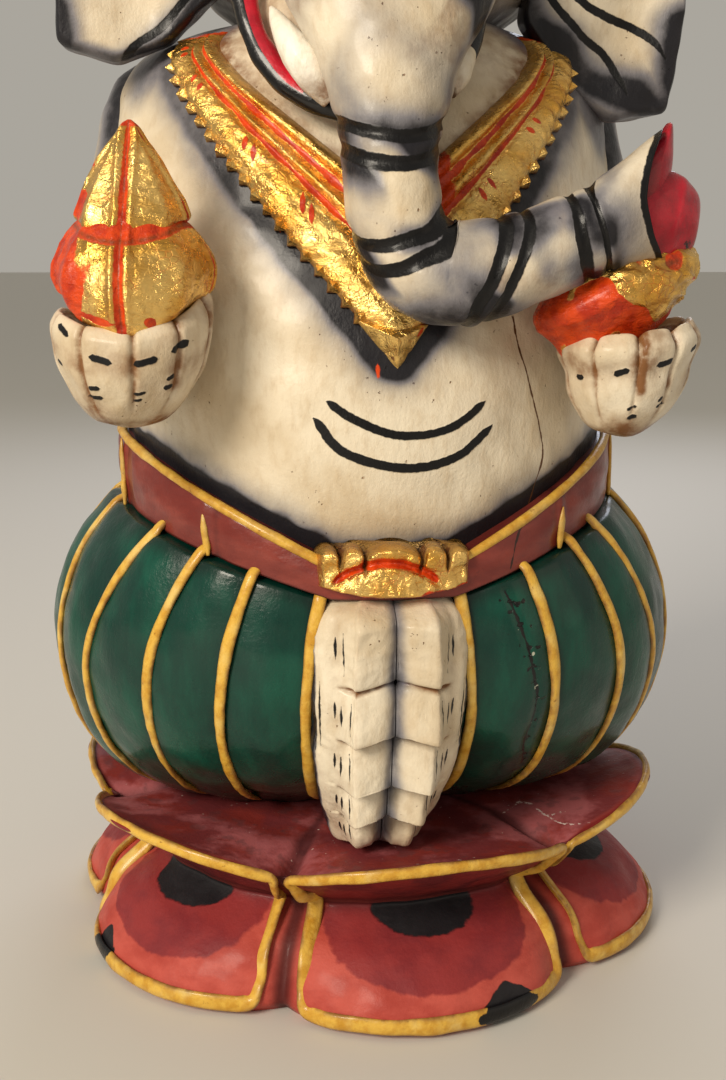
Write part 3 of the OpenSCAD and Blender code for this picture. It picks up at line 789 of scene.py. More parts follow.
def petal_outline(a0):
    """The raised line round one petal: along its rim, down beside the notch and along its foot."""
    half = petal_arc / 2 * 0.93
    top = [lotus_at(a0 + half * i / 5, lotus_r - 3, lotus_h - 0.3, 10, 9) for i in range(-5, 6)]
    down = [lotus_at(a0 + half, lotus_r - 6.4, lotus_h - 6, 9, 6),
            lotus_at(a0 + half * 0.97, lotus_r - 14, lotus_h - 14, 6, 3),
            lotus_at(a0 + half * 0.92, waist_r + 3.0, 30, 4, 0),
            lotus_at(a0 + half * 0.915, lotus_r - 8.9, 18, 8, 0),
            lotus_at(a0 + half * 0.91, lotus_r - 2.0, 9.5, notch_depth, 0)]
    foot = [lotus_at(a0 + half * i / 4, lotus_r + 0.1, 4.4, notch_depth)
            for i in (3.4, 2.2, 1, 0, -1, -2.2, -3.4)]
    up = [lotus_at(2 * a0 - np.degrees(np.arctan2(q[0], -q[1])), np.hypot(q[0], q[1]), q[2], 0)
          for q in down[::-1]]
    return top + down + foot + up


def petal_edging():
    """The yellow lines, laid on in thick paint, that edge the petals."""
    forms = []
    for i in range(petals):
        a0 = petal_turn + petal_arc * i
        path = spline(petal_outline(a0), 14, closed=True)
        z = path[:, 2]
        broad = 1.05 + 0.45 * rise(-z, -38, -28) + 0.08 * wobble(path, 11, 30 + i)
        thick = 0.34 * edging_w * (1 + 0.1 * wobble(path, 7, 35 + i))
        rings = rings_along(
            path, thick, 0.53 * edging_w * broad, 14, (-sind(a0), cosd(a0), 0.01), closed=True)
        rings = shaken(rings, 0.08, 5, 40 + i)
        rings[..., 2] = np.maximum(rings[..., 2], 0.2)
        low = np.abs(sind(np.arange(14) * 360 / 14))[None, :] ** 3
        forms.append(solid(rings, closed=True, glaze=0.75 * low, ink=layer(*foot_chips(rings))))
    make("yellow_petal_edging", joined(forms), YELLOW, "yellow_paint", "petal_edging")


# ---- trousers and sash

crack_on_trousers = spline(
    [(32.7, -80, 128.5), (35.7, -80.6, 122.6), (39.2, -80.6, 113.4), (42.7, -79.3, 100.8),
     (43.9, -77, 92.2), (42.2, -72.5, 79.5), (42.9, -64.5, 68.3)], 8)


def trousers():
    """Billowing cloth, a little puffed between the stripes and tucked in under the sash."""
    z = np.linspace(46, 150, 170)[:, None]
    a = np.arange(0, 360, 0.64)[None, :] + 0 * z
    p = trousers_at(a, z)
    gap = np.full(a.shape, 180.0)
    for angle in stripe_angles:
        off = np.abs((a - stripe_angle(angle, z) + 180) % 360 - 180)
        gap = np.minimum(gap, off)
    reach = gap * np.hypot(p[..., 0], p[..., 1]) * np.pi / 180
    outward = normals(p)
    puff = 0.9 * (1 - bell(reach, 8)) - 0.35 * bell(reach, 3)
    uneven = 0.7 * wobble(p * (1, 1, 0.6), 17, 3) + 0.15 * wobble(p, 6, 4)
    seat = z - sash_low(a)
    under_feet = (np.abs(p[..., 0]) < 20) & (p[..., 1] < 0)
    tuck = 4.5 * rise(seat, -0.5, 3.5) + 2.5 * under_feet
    lines, _, _ = away(p, crack_on_trousers)
    p = p + outward * (puff + uneven - tuck - 0.7 * bell(lines, 1.0))[..., None]
    chips = 1.5 * wobble(p, 1.7, 6) - 0.9 - 0.34 * lines
    flakes = 1.5 * wobble(p, 1.5, 7) - 2.1 - 0.3 * lines
    # Dark green along the stripes is paint; under the sash it is painted shade, and it grows
    # darker towards the bottom
    glaze = np.clip(0.7 * bell(reach, 2.6) + 0.8 * bell(seat, 4) + rise(-z, -56, -47), 0, 1)
    form = solid(
        p, ink=layer(chips), pale=layer(flakes), glaze=glaze, **split(p, crack_on_trousers))
    make("green_trousers", form, GREEN, "green_paint", "trousers")


def trouser_stripes():
    """The raised yellow stripes, which wander as a hand lays them."""
    forms = []
    for i, angle in enumerate(stripe_angles):
        top = sash_low(angle) + 2
        z = np.linspace(48.5, top + 1, 110)
        wander = 0.35 * np.sin(z / 11 + 2.1 * i) + 0.15 * np.sin(z / 4.5 + i)
        path = trousers_at(stripe_angle(angle, z) + 0.35 * wander, z, 0.1)
        outward = unit(path * (1, 1, 0))
        path = path - outward * (4.5 * rise(z - top, -2.5, 1.5))[:, None]
        end = np.clip((z - 48) / 9, 0.05, 1) ** 0.7
        swell = end * (1 + 0.1 * np.sin(z / 9 + 1.3 * i) + 0.04 * np.sin(z / 3.3 + i))
        rings = rings_along(
            path, 0.31 * stripe_w * swell, 0.54 * stripe_w * swell, 12,
            (sind(angle), -cosd(angle), 0.1))
        rings = shaken(rings, 0.07, 3.5, 50 + i)
        low = np.abs(sind(np.arange(12) * 30))[None, :] ** 3
        forms.append(solid(rings, glaze=0.75 * low))
    make("yellow_stripes", joined(forms), YELLOW, "yellow_paint", "trouser_stripes")


tick_angles = (-39.5, -73, 39, 74)
crack_on_sash = spline([(38.2, -76, 147), (36.2, -77, 140.9), (34.4, -78, 134)], 6)


def sash_out(a, d):
    return torso_at(a, 168.0, d)


def sash():
    """A flat band round the waist, lapped at four places."""
    a = -np.arange(0, 360, 0.5)
    low, high = sash_low(a), sash_high(a)
    profile = [
        (-12, 0.0), (-2, 0.0), (0.55, 0.0), (0.95, 0.035), (1, 0.09), (1.05, 0.22), (1.14, 0.4),
        (1.16, 0.55), (1.1, 0.7), (1.02, 0.85), (0.9, 0.95), (0.4, 1.0), (-2, 1.0), (-12, 1.0)]
    path = spline(profile, 5)
    inward, share = np.minimum(path[:, 0], 1.3), np.clip(path[:, 1], 0, 1)
    reach = np.where(inward < 0, inward, sash_t * inward)
    p = np.stack([sash_out(a, d) for d in reach], 1)
    p[..., 2] = low[:, None] + (high - low)[:, None] * share
    outer = (reach > 0.5 * sash_t)[None, :]
    outward = point(sind(a), -cosd(a), 0)[:, None]
    for tick in tick_angles:
        off = ((a - tick + 180) % 360 - 180)[:, None]
        step = 0.7 * np.sign(tick) * bell(off, 1.4) * off / 1.4 - 0.35 * bell(off - 3, 2)
        p = p + outer[..., None] * step[..., None] * outward
    uneven = 0.4 * wobble(p * (1, 1, 0.5), 16, 8) + 0.1 * wobble(p, 5, 9)
    p = p + (outer * uneven)[..., None] * outward
    edge = np.clip(bell(share, 0.07) + 0.7 * bell(1 - share, 0.09), 0, 1)[None, :]
    folds = sum(bell(((a - tick + 180) % 360 - 180)[:, None] - 2, 0.9) for tick in tick_angles)
    form = solid(p, closed=True, glaze=np.clip(0.8 * edge + 0.4 * folds, 0, 1),
                 **split(p, crack_on_sash))
    make("maroon_sash", form, MAROON, "maroon_paint", "sash")


def sash_piping():
    """The yellow upper edge of the sash and the short yellow lines at its laps."""
    a = -np.arange(0, 360, 0.9)
    path = sash_out(a, sash_t - 1)
    path[:, 2] = sash_high(a)
    swell = 1 + 0.1 * wobble(path, 10, 11)
    rings = rings_along(
        path, 0.46 * piping_w * swell, 0.5 * piping_w * swell, 12, (0, 0.01, 1), closed=True)
    rings = shaken(rings, 0.07, 3.5, 12)
    forms = [solid(rings, closed=True, glaze=0.3)]
    for i, tick in enumerate(tick_angles):
        share = np.linspace(0.0, 0.75 if abs(tick) < 60 else 1.0, 30)
        at = tick + 1.5 * share * np.sign(tick)
        line = sash_out(at, 1.16 * sash_t + 0.35)
        line[:, 2] = sash_low(at) + (sash_high(at) - sash_low(at)) * share
        end = np.clip(np.minimum(share + 0.1, share[-1] - share) / 0.25, 0.1, 1) ** 0.6
        ring = rings_along(line, 0.8 * end, 1.25 * end, 10, (sind(tick), -cosd(tick), 0.02))
        forms.append(solid(shaken(ring, 0.1, 3, 13 + i), glaze=0.35))
    make("yellow_sash_edge", joined(forms), YELLOW, "yellow_paint", "sash_piping")


def belt_clasp():
    """A gilt clasp cut as a row of leaves over a red arch and a lens."""
    half = clasp_w / 2
    x = np.linspace(-half, half, 220)[None, :]
    v = np.linspace(0, 1, 80)[:, None]
    leaf_edges = np.array([-22.5, -15.4, -8.6, 7.4, 14.8, 22.5])
    lobe = np.zeros(x.shape)
    for left, right in zip(leaf_edges, leaf_edges[1:]):
        inside = np.clip(1 - ((x - (left + right) / 2) / ((right - left) / 2)) ** 2, 0, 1)
        lobe = np.maximum(lobe, inside ** 0.45)
    top = 139.6 + 4.6 * lobe - 0.004 * x ** 2
    low = 128.6 + 0.006 * x ** 2
    z = low + (top - low) * v
    arch_z = 139.4 - 0.0275 * (x + 2.5) ** 2
    in_arch = np.abs(x + 2.5) < 15.5
    arch = bell(z - arch_z, 1.35) * in_arch * rise(16 - np.abs(x + 2.5), 0, 3)
    lens_up = (z - 131.5) / np.maximum(arch_z - 132, 2)
    lens = np.clip(1 - ((x + 2.5) / 15) ** 2 - lens_up ** 2, 0, 1)
    leaf_grooves = sum(bell(x - e - 0.12 * (z - 139), 0.7) for e in leaf_edges[1:-1])
    out = 9.2 + 1.9 * lobe * rise(v, 0.45, 0.8) + 1.6 * lens ** 0.5 - 2.0 * arch
    out = out - 1.4 * leaf_grooves * rise(v, 0.5, 0.75)
    round_over = np.clip(np.minimum(np.minimum(v, 1 - v) / 0.1, (half - np.abs(x)) / 2.4), 0, 1)
    out = out * (0.25 + 0.75 * np.sqrt(1 - (1 - round_over) ** 2))
    face = point(x, -80.0 + 0.010 * x ** 2 - out, z)
    face[..., 1] += 0.35 * wobble(face, 3, 14) + 0.2 * knife(face, 2, 15)
    back = face.copy()
    back[..., 1] = -78 + 0.012 * x ** 2
    red = np.maximum(1.5 * arch - 0.55, np.maximum(0.5 - 9 * v, -2) + 0.5 * wobble(face, 4, 16))
    glaze = np.clip(leaf_grooves * rise(v, 0.5, 0.75) + 0.5 * rise(v, 0.93, 1), 0, 1)
    ring = np.concatenate([face, back[:, ::-1]], 1)
    red, glaze = (np.concatenate([v, v[:, ::-1]], 1) for v in (layer(red), glaze))
    form = solid(ring, red=red, glaze=glaze)
    make("gilt_belt_clasp", form, GILT, "gold_leaf", "belt_clasp")


# ---- feet

toe_joints = (103, 87, 71, 59.5)
# Bottom, top and front depth of each toe
toe_rows = [(103, 129, 95), (87, 103, 96), (71, 87, 93), (59.5, 71, 87), (48, 59.5, 79)]
foot_side_rows = [
    (48, 76), (56, 80), (65, 86.5), (79, 92.5), (95, 95.5), (112, 94.5), (122, 92), (129, 86)]
foot_width_rows = [
    (48, 0.62), (52, 0.68), (56, 0.74), (65, 0.85), (79, 0.95), (95, 1.0), (112, 1.0),
    (120, 0.96), (125, 0.88), (130, 0.66)]


def foot(side, name, face_share, wide):
    """Half of the pair of feet: a column of square toes in front and the side of the foot."""
    z = np.concatenate([np.linspace(lo, hi, 30 if hi - lo < 20 else 48)[:-1]
                        for lo, hi, _ in toe_rows[::-1]] + [[129]])[:, None]
    front = np.zeros(z.shape)
    for lo, hi, depth in toe_rows:
        t = (z - (lo + hi) / 2) / ((hi - lo) / 2)
        inside = (z >= lo) & (z <= hi)
        edge = 0.3 * t ** 2 + 0.9 * np.abs(t) ** 11
        if lo == 103:
            edge = edge + 13 * np.clip((t - 0.36) / 0.64, 0, 1) ** 1.5
        if hi == 59.5:
            edge = edge + 5 * np.clip(-t, 0, 1) ** 2
        front = np.where(inside, depth - edge - 1.5 * t * (lo < 103), front)
    even = smooth(foot_side_rows, 1, z)
    width = foot_w * wide * smooth(foot_width_rows, 1, z)
    corner = face_share * width
    ledge = corner + 0.42 * (width - corner)
    outline = [
        (0, front - 22), (0, front - 6.5), (0.7, front - 4.4), (2.2, front - 2.6),
        (0.4 * corner, front - 1.3), (0.7 * corner, front - 0.4), (corner - 1.1, front),
        (corner + 0.1, front - 0.5), (corner + 1.0, front - 2.6), (ledge, even - 6.4),
        (0.45 * ledge + 0.55 * width, even - 8.4), (0.97 * width, even - 11.5), (width, even - 16),
        (width + 0.2, 56)]
    line = np.stack([point(x, -y, z)[:, 0] for x, y in outline], 0)
    p = np.swapaxes(spline(line.reshape(len(outline), -1), 9).reshape(-1, len(z), 3), 0, 1)
    joints = np.min([np.abs(z - j) for j in toe_joints], axis=0)
    across = np.linspace(0, 13, p.shape[1])[None, :]
    x = p[..., 0].copy()
    shown = 1 - rise(across, 8.4, 9.2)
    p = p + normals(p, False) * (-0.9 * bell(joints, 0.5) * shown)[..., None]
    uneven = 0.35 * wobble(p, 7, 17) + 0.15 * knife(p, 3, 18)
    p = p + normals(p, False) * (uneven * rise(across, 1, 2))[..., None]
    p[..., 0] = np.maximum(p[..., 0], 0.05)
    p[..., 2] += (1.8 * np.clip(np.abs(x - corner) / 9, 0, 1)
                  * rise(z, 48, 62) * (1 - rise(z, 116, 127)))
    glaze = np.clip(0.9 * bell(joints, 0.45) * shown + 0.16 * bell(across - 6.6, 0.4)
                    + 0.14 * bell(across - 9, 0.6) + 0.07, 0, 1)
    # Grey down the middle, where the two feet meet, is painted shade between them; the dark band
    # along the outer edge is the airbrushed outline
    haze = np.clip(0.55 * bell(x, 2.6) + 0.25 * bell(x, 6) * bell(joints, 3)
                   + rise(x - 0.94 * width, 0, 1.0), 0, 1)
    marks = [
        (column, (lo + hi) / 2 + (hi - lo) * low, (lo + hi) / 2 + (hi - lo) * high, w)
        for lo, hi, _ in toe_rows[1:]
        for column, low, high, w in ((8.0, -0.25, 0.3, 0.6), (8.7, -0.2, 0.2, 1.0),
                                     (9.15, -0.1, 0.22, 0.9))]
    marks += [(8.6, 107, 119, 0.7), (9.2, 111, 117, 1.0), (10.4, 83, 103, 0.8),
              (10.9, 79, 101, 0.8), (11.3, 82, 97, 0.7)]
    dashes = []
    for column, low, high, w in marks:
        picked = [np.abs(z[:, 0] - s).argmin() for s in np.linspace(low, high, 5)]
        dashes.append(stroke(p, p[picked, int(column / 13 * (p.shape[1] - 1))], w, 0.4))
    back = p[:, ::-1].copy()
    back[..., 1] = -50
    ring = np.concatenate([p, back], 1)
    ring[..., 0] = side * ring[..., 0] - 2.4 * (np.clip(110 - z, 0, 60) / 60) ** 1.5
    bare = np.zeros(p.shape[:2])
    layers = {k: np.concatenate([v, bare], 1)
              for k, v in (("ink", layer(*dashes)), ("glaze", glaze), ("haze", haze))}
    if side < 0:
        ring = ring[:, ::-1]
        layers = {k: v[:, ::-1] for k, v in layers.items()}
    node = "left_foot" if side > 0 else "right_foot"
    make(name, solid(ring, **layers), CREAM, "cream_paint", node)


# ---- body

belly_creases = [
    [(-18.6, 183.4), (-9, 177.2), (3, 173.6), (15, 175.4), (26.2, 182.6)],
    [(-22, 178.6), (-14, 169.3), (3, 164.6), (18, 167.2), (28.6, 175.6)]]
crack_on_torso = [
    (34.6, 206), (37.2, 196.4), (40.6, 186.4), (44.8, 173), (45.9, 165.4), (44.5, 156.4),
    (40.6, 145.9), (38.6, 140)]


def under_ear(side):
    """The lower edge of an ear, below which a painted shadow is laid on the shoulder."""
    edge = np.array([(side * x, -25.0, z) for x, z in [(40, 300)] + ear_outline[:4]])
    return spline(turned(edge, ear_tilt), 5)


def torso():
    """The belly and chest, sprayed dark under the necklace and over the sash, with a painted
    shadow below the ears and painted shade on the figure's left side of the necklace band.
    """
    z = np.linspace(122, 292, 320)[:, None]
    fine = np.arange(-75, 75, 0.42)
    a = np.concatenate([fine, np.arange(75, 285, 0.9)])[None, :] + 0 * z
    p = torso_at(a, z)
    p = carve(p, 0.7, 22, 20)
    strokes = [stroke(p, spline(on_torso(*np.array(c).T), 10), w, 0.05)
               for c, w in zip(belly_creases, (2.4, 2.7))]
    belt = z - sash_high(a)
    t = np.linspace(-1, 1, 90)
    collar, _, _ = away(p, collar_at(t, 1.0))
    shaded_side = rise(p[..., 0], -5, 15)
    high = rise(z, 225, 262)
    spray = wobble(p, 14, 22)
    # The dense band under the necklace is airbrushed; widened on the figure's left, it is painted
    # shade on the side away from the key lamp
    core = 2.2 + 0.5 * wobble(p, 6, 24) + 0.8 * shaded_side
    haze = (0.42 * bell(np.maximum(collar - 5 - spray, 0), 8)
            + 0.62 * (1 - 0.6 * high) * bell(np.maximum(collar - 4.2, 0), core))
    core = 1.7 + 0.5 * wobble(p, 6, 23)
    belt_haze = (0.42 * bell(np.maximum(belt - 5 - spray, 0), 7)
                 + 0.66 * bell(np.maximum(belt - 4.2, 0), core)) * (belt > -8)
    haze = np.maximum(haze, belt_haze)
    # Painted shadow of each ear on the shoulder
    for side in (-1, 1):
        ear, _, _ = away(p, under_ear(side))
        haze = np.maximum(haze, 0.6 * bell(np.maximum(ear - 5, 0), 8))
    haze = np.maximum(haze, 0.35 * bell((a - 180) * 1.2, 3.0) * bell(z - 215, 45))
    inner, _, _ = away(p, collar_at(t, 0.0))
    glaze = np.clip(0.45 * bell(inner, 3.5) + 0.35 * rise(z, 262, 285), 0, 1)
    drip = stroke(p, on_torso(np.array([-4.6, -4.3]), np.array([193.5, 189.5])), 1.2, 0.4)
    spot = stroke(p, on_torso(np.array([-30.5, -30.3]), np.array([231.5, 229.0])), 0.8, 0.4)
    line = spline(on_torso(*np.array(crack_on_torso).T), 8)
    form = solid(
        p, ink=layer(*strokes), haze=np.clip(haze, 0, 1.1),
        glaze=glaze, red=layer(drip, spot), **split(p, line))
    make("painted_torso", form, CREAM, "cream_paint", "torso")


arm_rows = [
    (60, 4, 272, 12), (65, 3.5, 267, 16.5), (69, 0, 250, 17), (72, -6, 232, 16.5),
    (74, -14, 216, 15.5), (75, -27, 203, 14.5), (74, -42, 196, 13.5), (70.5, -61, 192, 11.8)]


def arm(side, name):
    """An arm, from the shoulder round the elbow to the heel of the hand."""
    rows = spline(arm_rows, 12)
    path = rows[:, :3] * (side, 1, 1)
    p = rings_along(path, rows[:, 3], rows[:, 3], 72, (1, 0, 0.01))
    p = carve(p, 0.6, 16, 26 + side)
    inner = p[..., 0] * side
    body = np.hypot(p[..., 0] / (belly_r * smooth(torso_rows, 1, p[..., 2])),
                    p[..., 1] / np.where(p[..., 1] < 0, belly_front, 76))
    # Blue-black where the arm meets the body: airbrushed, and painted shade in the crease between
    # them
    haze = 0.85 * bell(np.maximum(body - 1.02, 0), 0.06) * rise(inner, 40, 60)
    # Painted shadow of the ear on the top of the arm
    ear, _, _ = away(p, under_ear(side))
    haze = np.maximum(haze, 0.9 * bell(np.maximum(ear - 5, 0), 9))
    elbow = bell(np.arange(len(path))[:, None] - 52, 3)
    form = solid(p, haze=np.clip(haze, 0, 1), glaze=0.4 * elbow)
    node = "left_arm" if side > 0 else "right_arm"
    make(name, form, CREAM, "cream_paint", node)


def finger_angles(a, gaps):
    """Degrees from each angle to the nearest gap between fingers, and the finger's half width."""
    gaps = np.sort(np.asarray(gaps, float))
    ring = np.concatenate([gaps - 360, gaps, gaps + 360])
    wrapped = (a + 180) % 360 - 180
    i = np.clip(np.searchsorted(ring, wrapped), 1, len(ring) - 1)
    low, high = ring[i - 1], ring[i]
    return np.minimum(wrapped - low, high - wrapped), (high - low) / 2


def cupped_hand(name, node, at, radius, gaps, heel, rim, marks, streak=None, knuckle=0.0):
    """Fingers stand side by side round what the hand holds, over a rounded heel."""
    hand_rows = [(0, 0.08), (0.02, 0.25), (0.08, 0.46), (0.2, 0.66), (0.38, 0.85), (0.58, 0.98),
                 (0.78, 1.03), (0.92, 1.03), (1, 0.98)]
    v = np.concatenate([np.linspace(0, 1, 100), np.full(26, 1.0)])[:, None]
    a = np.arange(-180, 180, 1.0)[None, :] + 0 * v
    gap, half = finger_angles(a, gaps)
    height = rim(a) - heel
    finger = np.clip(1 - (1 - gap / half) ** (3 if knuckle else 6), 0, 1) ** 0.5
    tip = (1.0 + 1.8 * (knuckle > 0)) * (1 - finger) * rise(v, 0.8, 1)
    z = heel + height * v - tip
    share = smooth(hand_rows, 1, v)
    flat = cosd(np.minimum(half, 25)) / cosd(np.clip(np.minimum(half, 25) - gap, 0, 60))
    depth = rise(v, 0.12, 0.36)
    flat = 1 + (flat / cosd(np.minimum(half, 25) * 0.5) - 1) * 0.7
    groove = 1 - (0.05 * bell(gap, 2.4) + 0.02 * bell(gap, 6)) * depth
    bump = 1 + knuckle * (bell((v - 0.88) / 0.14, 1) * finger - 0.5 * bell((v - 0.64) / 0.1, 1))
    r = radius * share * (1 + (flat - 1) * depth) * groove * bump
    inside = np.zeros(v.shape)
    inside[100:, 0] = np.linspace(0.04, 1, 26)
    r = r * (1 - 0.14 * np.minimum(inside / 0.3, 1) - 0.6 * rise(inside, 0.3, 1))
    z = z + 1.3 * np.sin(np.pi * np.minimum(inside / 0.3, 1)) - 9 * rise(inside, 0.25, 1)
    heel_at = -1.5 * (1 - np.minimum(v, 0.7) / 0.7) ** 2
    p = point(at[0] + heel_at + r * sind(a), at[1] - r * 0.95 * cosd(a), z)
    p = p + 0.25 * wobble(p, 6, 60)[..., None] * normals(p)
    glaze = np.clip(0.32 * bell(gap, 2.0) * depth + 0.2 * bell(gap, 7)
                    + 0.2 * (1 + wobble(p, 9, 61)) + 0.3 * rise(v, 0.9, 1) * (1 - finger)
                    + 0.5 * (inside > 0.4) + 0.4 * bell(v - 0.06, 0.06), 0, 1)
    if streak is not None:
        glaze = np.maximum(glaze, 0.95 * bell(a - streak, 5.5) * rise(v, 0.3, 0.5))
    dashes = [stroke(p, np.linspace(start, end, 6), 0.9 * w, 0.14) for start, end, w in marks]
    make(name, solid(p, ink=layer(*dashes), glaze=glaze), CREAM, "cream_paint", node)


# Both ends and the width of each black dash on the hands
right_hand_marks = [
    ((-89.4, -86.4, 205), (-86.2, -90.8, 202), 1.7),
    ((-80.9, -95.3, 196.9), (-75.1, -96.9, 195.4), 2.1),
    ((-69.4, -96.7, 194.9), (-62.9, -96.6, 196.4), 2.1),
    ((-59.8, -94.6, 198.2), (-55.7, -91.5, 200.7), 2.3),
    ((-81.8, -92.2, 188.6), (-78.8, -94.3, 188.3), 1.5),
    ((-82.3, -90.7, 185.9), (-78.4, -93.2, 185.1), 1.5),
    ((-69.9, -94.7, 186.7), (-66.1, -95, 187), 1.1),
    ((-69.9, -94, 184.4), (-67.4, -94.5, 184.6), 1.0),
    ((-60.8, -94.5, 190.5), (-58.5, -92.6, 191.9), 1.5),
    ((-61.6, -94.2, 187.7), (-59.2, -92.6, 189), 1.5),
    ((-90.5, -85.2, 195.5), (-89, -87.4, 194), 1.2)]
left_hand_marks = [
    ((50.2, -88, 190.2), (51.4, -90.5, 190.2), 1.7),
    ((57.3, -96.6, 191.3), (60.9, -98.4, 193), 2.0),
    ((67.9, -98.9, 194), (73.1, -98.1, 195.4), 2.1),
    ((77.5, -94.6, 197.8), (79.7, -92.9, 199), 1.6),
    ((61.6, -96.4, 181.2), (63.6, -97, 182.6), 1.2),
    ((62.2, -95.1, 178.4), (64.3, -96, 179.6), 1.6),
    ((70.2, -97, 183.4), (72.1, -96.9, 184.9), 1.2),
    ((70.4, -96.5, 181.4), (72.5, -96.1, 182.7), 1.3)]


def right_rim(a):
    """The height of the right hand's rim, highest where the palm stands up beside the bud."""
    return 202.4 + 5 * sind(a + 8) ** 2 + 8 * np.maximum(cosd(a - 112), 0) ** 3


def left_rim(a):
    return 201.6 + sind(a) ** 2 + 2.2 * sind(a)


def hands():
    cupped_hand(
        "right_cupped_hand", "right_hand", right_hand_at, hand_r,
        (-112, -76, -37, 3, 37, 72, 112, 150, -150), 176.5, right_rim, right_hand_marks)
    cupped_hand(
        "left_cupped_hand", "left_hand", left_hand_at, 0.845 * hand_r,
        (-128, -88, -46, -7, 27, 60, 95, 135, 180), 173, left_rim, left_hand_marks,
        streak=-3, knuckle=0.07)


# ---- what the hands hold

bud_turn = -8


def eight_sided(a):
    """A regular octagon's radius, as a share of its corner's, with a corner at the bud's turn."""
    off = (a - bud_turn + 22.5) % 45 - 22.5
    return cosd(22.5) / cosd(22.5 - np.abs(off)) * (1 - 0.012 * bell(off, 2))


def leaf_lines(a, r):
    """Distance from the nearest double ridge between two leaves."""
    off = (a - bud_turn + 45) % 90 - 45
    return np.abs(off) * np.pi / 180 * r


def bud_tier(rows, low, high, seed, drop):
    """One tier of four folded leaves, whose lower edges curve down in the middle."""
    v = np.linspace(0, 1, 100)[:, None]
    a = np.arange(-180, 180, 1.0)[None, :] + 0 * v
    z_low = low + drop * sind(a - bud_turn) ** 2
    z = z_low + (high - z_low) * v
    r = smooth(rows, 1, v) * eight_sided(a)
    lines = leaf_lines(a, np.maximum(r, 3))
    middle = rise(v, 0.02, 0.1) * (1 - rise(v, 0.92, 1))
    r = r + (0.7 * bell(lines - 2.2, 0.9) - 1.2 * bell(lines, 1.1)) * middle
    p = point(bud_at[0] + r * sind(a), bud_at[1] - r * cosd(a), z)
    crumple = 0.3 * wobble(p * (1, 1, 0.4), 5, seed) + 0.22 * knife(p, 4, seed + 1)
    p = p + normals(p) * (crumple * rise(v, 0.02, 0.08))[..., None]
    return p, a, v, lines


def bud():
    """The gilt bud in the right hand: four leaves over four, with vermilion in their folds."""
    lower_rows = [
        (0, 18.4), (0.1, 20.3), (0.3, 22), (0.5, 21.4), (0.72, 18.9), (0.9, 15.8), (1, 13.4)]
    p, a, v, lines = bud_tier(lower_rows, 202, 232, 70, 9)
    facet = 2.2 - np.abs(a + 75) * 0.07 + 1.2 * wobble(p, 7, 72)
    edge = 225.6 + 5 * sind(a - bud_turn) ** 2
    red = np.maximum(1.3 - lines, (p[..., 2] - edge + 1.0) * 0.8)
    red = np.maximum(red, np.where(p[..., 0] < bud_at[0] - 9, np.minimum(facet, 2), -3))
    patch = stroke(p, [(-66, -97, 206), (-62, -97, 203)], 3.0, 0.4)
    foot_line = 0.9 - np.abs(v - 0.1) * 24 + 0.5 * wobble(p, 5, 73)
    foot_line = foot_line - 1.5 * rise(p[..., 0], -78, -66)
    glaze = np.clip(0.6 * bell(lines, 0.35) + 0.6 * bell(p[..., 2] - edge, 0.8), 0, 1)
    form = solid(p, red=layer(red, patch, foot_line), glaze=glaze)
    make("bud_outer_leaves", form, GILT, "gold_leaf", "bud_lower_leaves")
    upper_rows = [
        (0, 14), (0.05, 15.3), (0.2, 14.2), (0.45, 10.8), (0.7, 6.7), (0.88, 3.5), (0.97, 1.8),
        (1, 0.5)]
    p, a, v, lines = bud_tier(upper_rows, 225.6, bud_top, 76, 5)
    red = np.maximum(1.25 - 0.5 * v - lines, 0.9 - v * 22)
    facet = 0.9 - np.abs(a + 80) * 0.05 + 1.2 * wobble(p, 6, 74)
    red = np.maximum(red, np.where(p[..., 0] < bud_at[0] - 3, np.minimum(facet, 2), -3))
    red = np.maximum(red, (v - 0.94) * 20)
    glaze = np.clip(0.6 * bell(lines, 0.35), 0, 1)
    form = solid(p, red=layer(red), glaze=glaze)
    make("bud_inner_leaves", form, GILT, "gold_leaf", "bud_upper_leaves")


def offered_sweet():
    """A heaped sweet: smooth vermilion folds, with crumpled gold leaf over its right and top."""
    rows = [(-12, 0.40), (-9, 0.56), (-5, 0.70), (-1, 0.86), (2, 0.95), (5, 1), (9, 0.95),
            (12.5, 0.78), (14.5, 0.5), (15.4, 0.15)]
    v = np.linspace(-12, 15.4, 130)[:, None]
    a = np.arange(-180, 180, 1.0)[None, :] + 0 * v
    share = smooth(rows, 1, v)
    x = sweet_l * share * sind(a)
    p = point(sweet_at[0] + x, sweet_at[1] - 0.8 * sweet_l * share * cosd(a), 208 + v + 0.32 * x)
    slant = p[..., 2] - 209 - 0.34 * (p[..., 0] - sweet_at[0]) + 1.3 * wobble(p, 12, 84)
    reach = p[..., 0] - 61 - 3.0 * wobble(p, 7, 85)
    gilt = rise(reach + 1.4 * slant, -2.5, 2.5)
    soft = 0.45 * np.sin(slant / 2.1) + 0.3 * bell(slant - 1.5, 1.0)
    crumple = 1.3 * knife(p * (0.6, 1, 1.7), 5.5, 80) + 0.4 * knife(p, 2.6, 81) - 1.0
    lumps = soft * (1 - 0.6 * gilt) + gilt * crumple + 0.5 * wobble(p, 9, 82)
    p = p + normals(p) * lumps[..., None]
    glaze = 0.2 * bell(np.sin(slant / 2.1) + 1, 0.2) + 0.4 * gilt * rise(-crumple, 0.1, 0.8)
    bare = 2.5 * (0.5 - gilt) + 1.2 * wobble(p, 4, 83)
    form = solid(p, red=layer(bare), glaze=glaze)
    make("heaped_sweet", form, GILT, "vermilion_paint", "offered_sweet")


# ---- necklace

